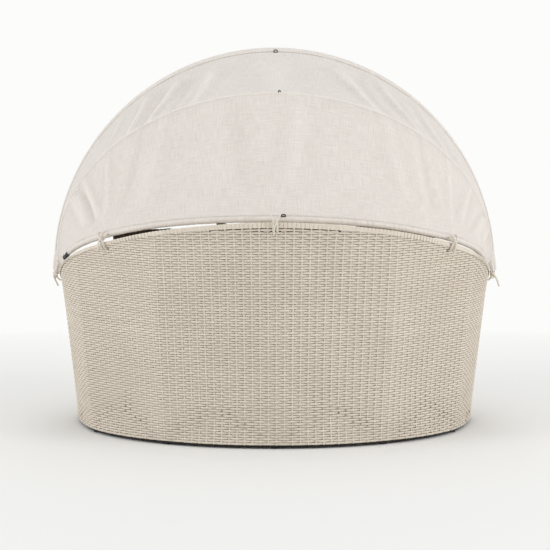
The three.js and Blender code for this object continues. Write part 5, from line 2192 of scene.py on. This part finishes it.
@dataclass
class Stuffed:
    """A stuffed piece that starts as its CAD solid, is blown up by cloth simulation and gets piping."""

    name: str
    node: str
    body: Body
    slot: Slot
    finish: Cloth
    voxel: float
    cap: float
    pressure: float = 4.0
    frames: int = 20
    inset: float = 0.008
    fill: float = 0.7
    seams: tuple[float, ...] = (0.0,)
    piping: float = 0.0032
    seam_steps: int = 200
    slump: float = 0.0
    slump_from: tuple[float, float] = (0.5, 0.9)

    def build(self) -> None:
        """Makes the piece and its piping."""
        piece = placed(self.name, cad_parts[self.node].data.copy())
        mend(piece.data, merge=1e-6, outward=False)
        self.simulate(piece)
        piece.data.shade_smooth()
        dress(piece, self.finish, self.body, [self.node])
        shell = Shell()
        for level in self.seams:
            shell.sweep(self.seam(piece, level), circle(self.piping, 8), closed=True)
        dress(shell.made(f"{self.name}_piping"), self.finish, self.body)

    def seam(self, piece: Piece, level: float) -> np.ndarray:
        """The line of an edge round the piece.

        Args:
            piece: The stuffed piece.
            level: 1 for its upper edge, -1 for its lower one, 0 for the edge round its middle.

        Returns:
            The points of the closed line.
        """
        points = points_of(piece)
        centre = (points.min(0) + points.max(0)) / 2
        axes = np.linalg.svd(points - points.mean(0), full_matrices=False)[2]
        axes[2] *= 1.0 if axes[2][2] >= 0 else -1.0
        flat = (points - centre) @ axes.T
        score = np.hypot(flat[:, 0], flat[:, 1]) + level * flat[:, 2]
        turns = np.arctan2(flat[:, 1], flat[:, 0]) / (2 * np.pi) + 0.5
        bins = (turns * self.seam_steps).astype(int) % self.seam_steps
        groups = (np.flatnonzero(bins == k) for k in range(self.seam_steps))
        path = points[[int(group[score[group].argmax()]) for group in groups if len(group)]]
        for _ in range(2):
            path = (np.roll(path, 1, axis=0) + 2 * path + np.roll(path, -1, axis=0)) / 4
        return path

    def simulate(self, piece: Piece) -> None:
        """Remeshes the piece, lets pressure swell it within its cap, and lets its corner slump.

        Args:
            piece: The piece, whose mesh is replaced.
        """
        rest = points_of(piece)
        centre = (rest.min(0) + rest.max(0)) / 2
        keep = 1 - 2 * self.inset / (rest.max(0) - rest.min(0))
        move_points(piece, centre + (rest - centre) * keep)
        remesh = piece.modifiers.new("even", "REMESH")
        remesh.mode, remesh.voxel_size = "VOXEL", self.voxel
        self.apply(piece)
        start = points_of(piece)
        cloth = piece.modifiers.new("swell", "CLOTH")
        cloth.settings.use_pressure = True
        cloth.settings.uniform_pressure_force = self.pressure
        cloth.settings.effector_weights.gravity = 0
        for number in range(1, self.frames + 1):
            bpy.context.scene.frame_set(number)
        self.apply(piece)
        bpy.context.scene.frame_set(1)
        step = points_of(piece) - start
        far = np.linalg.norm(step, axis=1, keepdims=True)
        move_points(piece, start + step * np.minimum(1, self.cap / np.maximum(far, 1e-9)))
        if self.slump:
            points = points_of(piece)
            low, high = points.min(0), points.max(0)
            share = (high - points) / (high - low)
            reached = smooth_step(share[:, 0], *self.slump_from) * smooth_step(1 - share[:, 2], 0.3, 1.0)
            points[:, 2] -= self.slump * reached
            move_points(piece, points)
        smooth = piece.modifiers.new("fine", "SUBSURF")
        smooth.levels = smooth.render_levels = 1

    def apply(self, piece: Piece) -> None:
        """Bakes the modifiers into the mesh.

        Args:
            piece: The piece, whose mesh is replaced.
        """
        graph = bpy.context.evaluated_depsgraph_get()
        mesh = bpy.data.meshes.new_from_object(piece.evaluated_get(graph))
        piece.modifiers.clear()
        piece.data = mesh


# Studio


@dataclass
class Studio:
    """Camera, floor and lamps."""

    camera_distance: float = 5.6
    camera_height: float = 0.786
    focal_pixels: float = 1371.0
    centre_x: float = 274.5
    horizon_y: float = 225.0
    picture: int = 550
    sensor: float = 36.0
    floor_reach: float = 9.0
    fade_from: float = 2.0
    fade_to: float = 5.0
    floor_colour: Colour = linear(239, 239, 237)
    white: Colour = linear(252, 252, 251)
    fill: float = 0.72
    fill_colour: Colour = (0.995, 0.995, 0.995)
    aim: tuple[float, float, float] = (0, 0, 0.7)
    lamp_places: tuple[tuple[str, tuple[float, float, float], float, float], ...] = (
        ("lamp_left", (4.9, 2.7, 2.2), 3.2, 81.0),
        ("lamp_right", (-4.9, 2.7, 2.2), 3.2, 96.0),
        ("lamp_top", (0.0, 1.4, 4.6), 4.0, 25.0),
        ("lamp_front", (0.0, -4.5, 3.2), 3.0, 38.0),
    )

    def build(self) -> None:
        """Makes the camera, the floor and the lamps."""
        self.camera()
        self.floor()
        self.lamps()

    def camera(self) -> None:
        """A level camera behind the tub, where the photograph was taken."""
        data = bpy.data.cameras.new("camera")
        data.sensor_width = self.sensor
        data.lens = self.focal_pixels * self.sensor / self.picture
        data.shift_x = (self.picture / 2 - self.centre_x) / self.picture
        data.shift_y = (self.horizon_y - self.picture / 2) / self.picture
        data.clip_end = 60
        camera = placed("camera", data)
        camera.location = (0, self.camera_distance, self.camera_height)
        camera.rotation_euler = (math.pi / 2, 0, math.pi)
        bpy.context.scene.camera = camera

    def seen(self, board: NodeBoard) -> Socket:
        """1 for what the camera sees directly, in mirrors and through glass, 0 for the rest."""
        path = board.node("ShaderNodeLightPath").outputs
        seen = board.math("MAXIMUM", path["Is Camera Ray"], path["Is Glossy Ray"])
        return board.math("MAXIMUM", seen, path["Is Transmission Ray"])

    def floor(self) -> None:
        """A pale floor that fades to the white of the world for the camera and in reflections."""
        shell, reach = Shell(), self.floor_reach
        shell.grid(np.array([[(-reach, y, 0), (reach, y, 0)] for y in (-reach, reach)], float))
        floor = shell.made("floor", outward=False)
        made = bpy.data.materials.new("studio_floor")
        board = board_of(made)
        far = board.node("ShaderNodeVectorMath", {"operation": "LENGTH"}, i0=board.place()).outputs[1]
        fade = board.math("MULTIPLY", board.spread(far, self.fade_from, self.fade_to), self.seen(board))
        pale = board.value("ShaderNodeBsdfDiffuse", Color=rgba(self.floor_colour))
        glow = board.value("ShaderNodeEmission", Color=rgba(self.white), Strength=1.0)
        both = board.value("ShaderNodeMixShader", i0=fade, i1=pale, i2=glow)
        board.node("ShaderNodeOutputMaterial", Surface=both)
        floor.data.materials.append(made)

    def lamps(self) -> None:
        """Two large soft lamps behind the camera's sides, one above, one in front, and an even world."""
        world = bpy.data.worlds.new("studio")
        board = board_of(world)
        fill = board.value("ShaderNodeBackground", Color=rgba(self.fill_colour), Strength=self.fill)
        white = board.value("ShaderNodeBackground", Color=rgba(self.white), Strength=1.0)
        both = board.value("ShaderNodeMixShader", i0=self.seen(board), i1=fill, i2=white)
        board.node("ShaderNodeOutputWorld", Surface=both)
        bpy.context.scene.world = world
        for name, place, size, power in self.lamp_places:
            data = bpy.data.lights.new(name, "AREA")
            data.shape, data.size, data.energy = "DISK", size, power
            lamp = placed(name, data)
            lamp.location = place
            lamp.rotation_euler = (Vector(self.aim) - Vector(place)).to_track_quat("-Z", "Y").to_euler()
        bpy.context.scene.view_settings.view_transform = "Standard"


def main() -> None:
    tub, hood = TubPlan(), HoodPlan()
    Studio().build()
    ties = Ties(tub, hood)
    ties.build()
    weave = Weave(tub)
    Framework(weave).build()
    RearWalls(weave, holes=ties.holes()).build()
    FrontWalls(weave).build()
    Hoops(hood).build()
    Hood(hood).build()
    Rings().build()
    for name, body in (("rear", Body.REAR_CUSHION), ("front", Body.FRONT_CUSHION)):
        Stuffed(
            f"{name}_cushion", f"{name}_seat_cushion", body, Slot.CUSHION, CUSHION_CLOTH, 0.012, 0.016,
            fill=0.75, seams=(1.0, -1.0), seam_steps=300,
        ).build()
    for name, body, slump, slump_from in (
        ("left", Body.LEFT_PILLOW, 0.040, (0.6, 0.97)),
        ("middle", Body.MIDDLE_PILLOW, -0.012, (0.3, 0.0)),
        ("right", Body.RIGHT_PILLOW, 0.0, (0.6, 0.97)),
    ):
        Stuffed(
            f"{name}_throw_pillow", f"pillow_{name}", body, Slot.PILLOW, PILLOW_CLOTH, 0.008, 0.012, fill=0.6,
            inset=0.006, piping=0.0026, slump=slump, slump_from=slump_from,
        ).build()


if __name__ == "__main__":
    main()
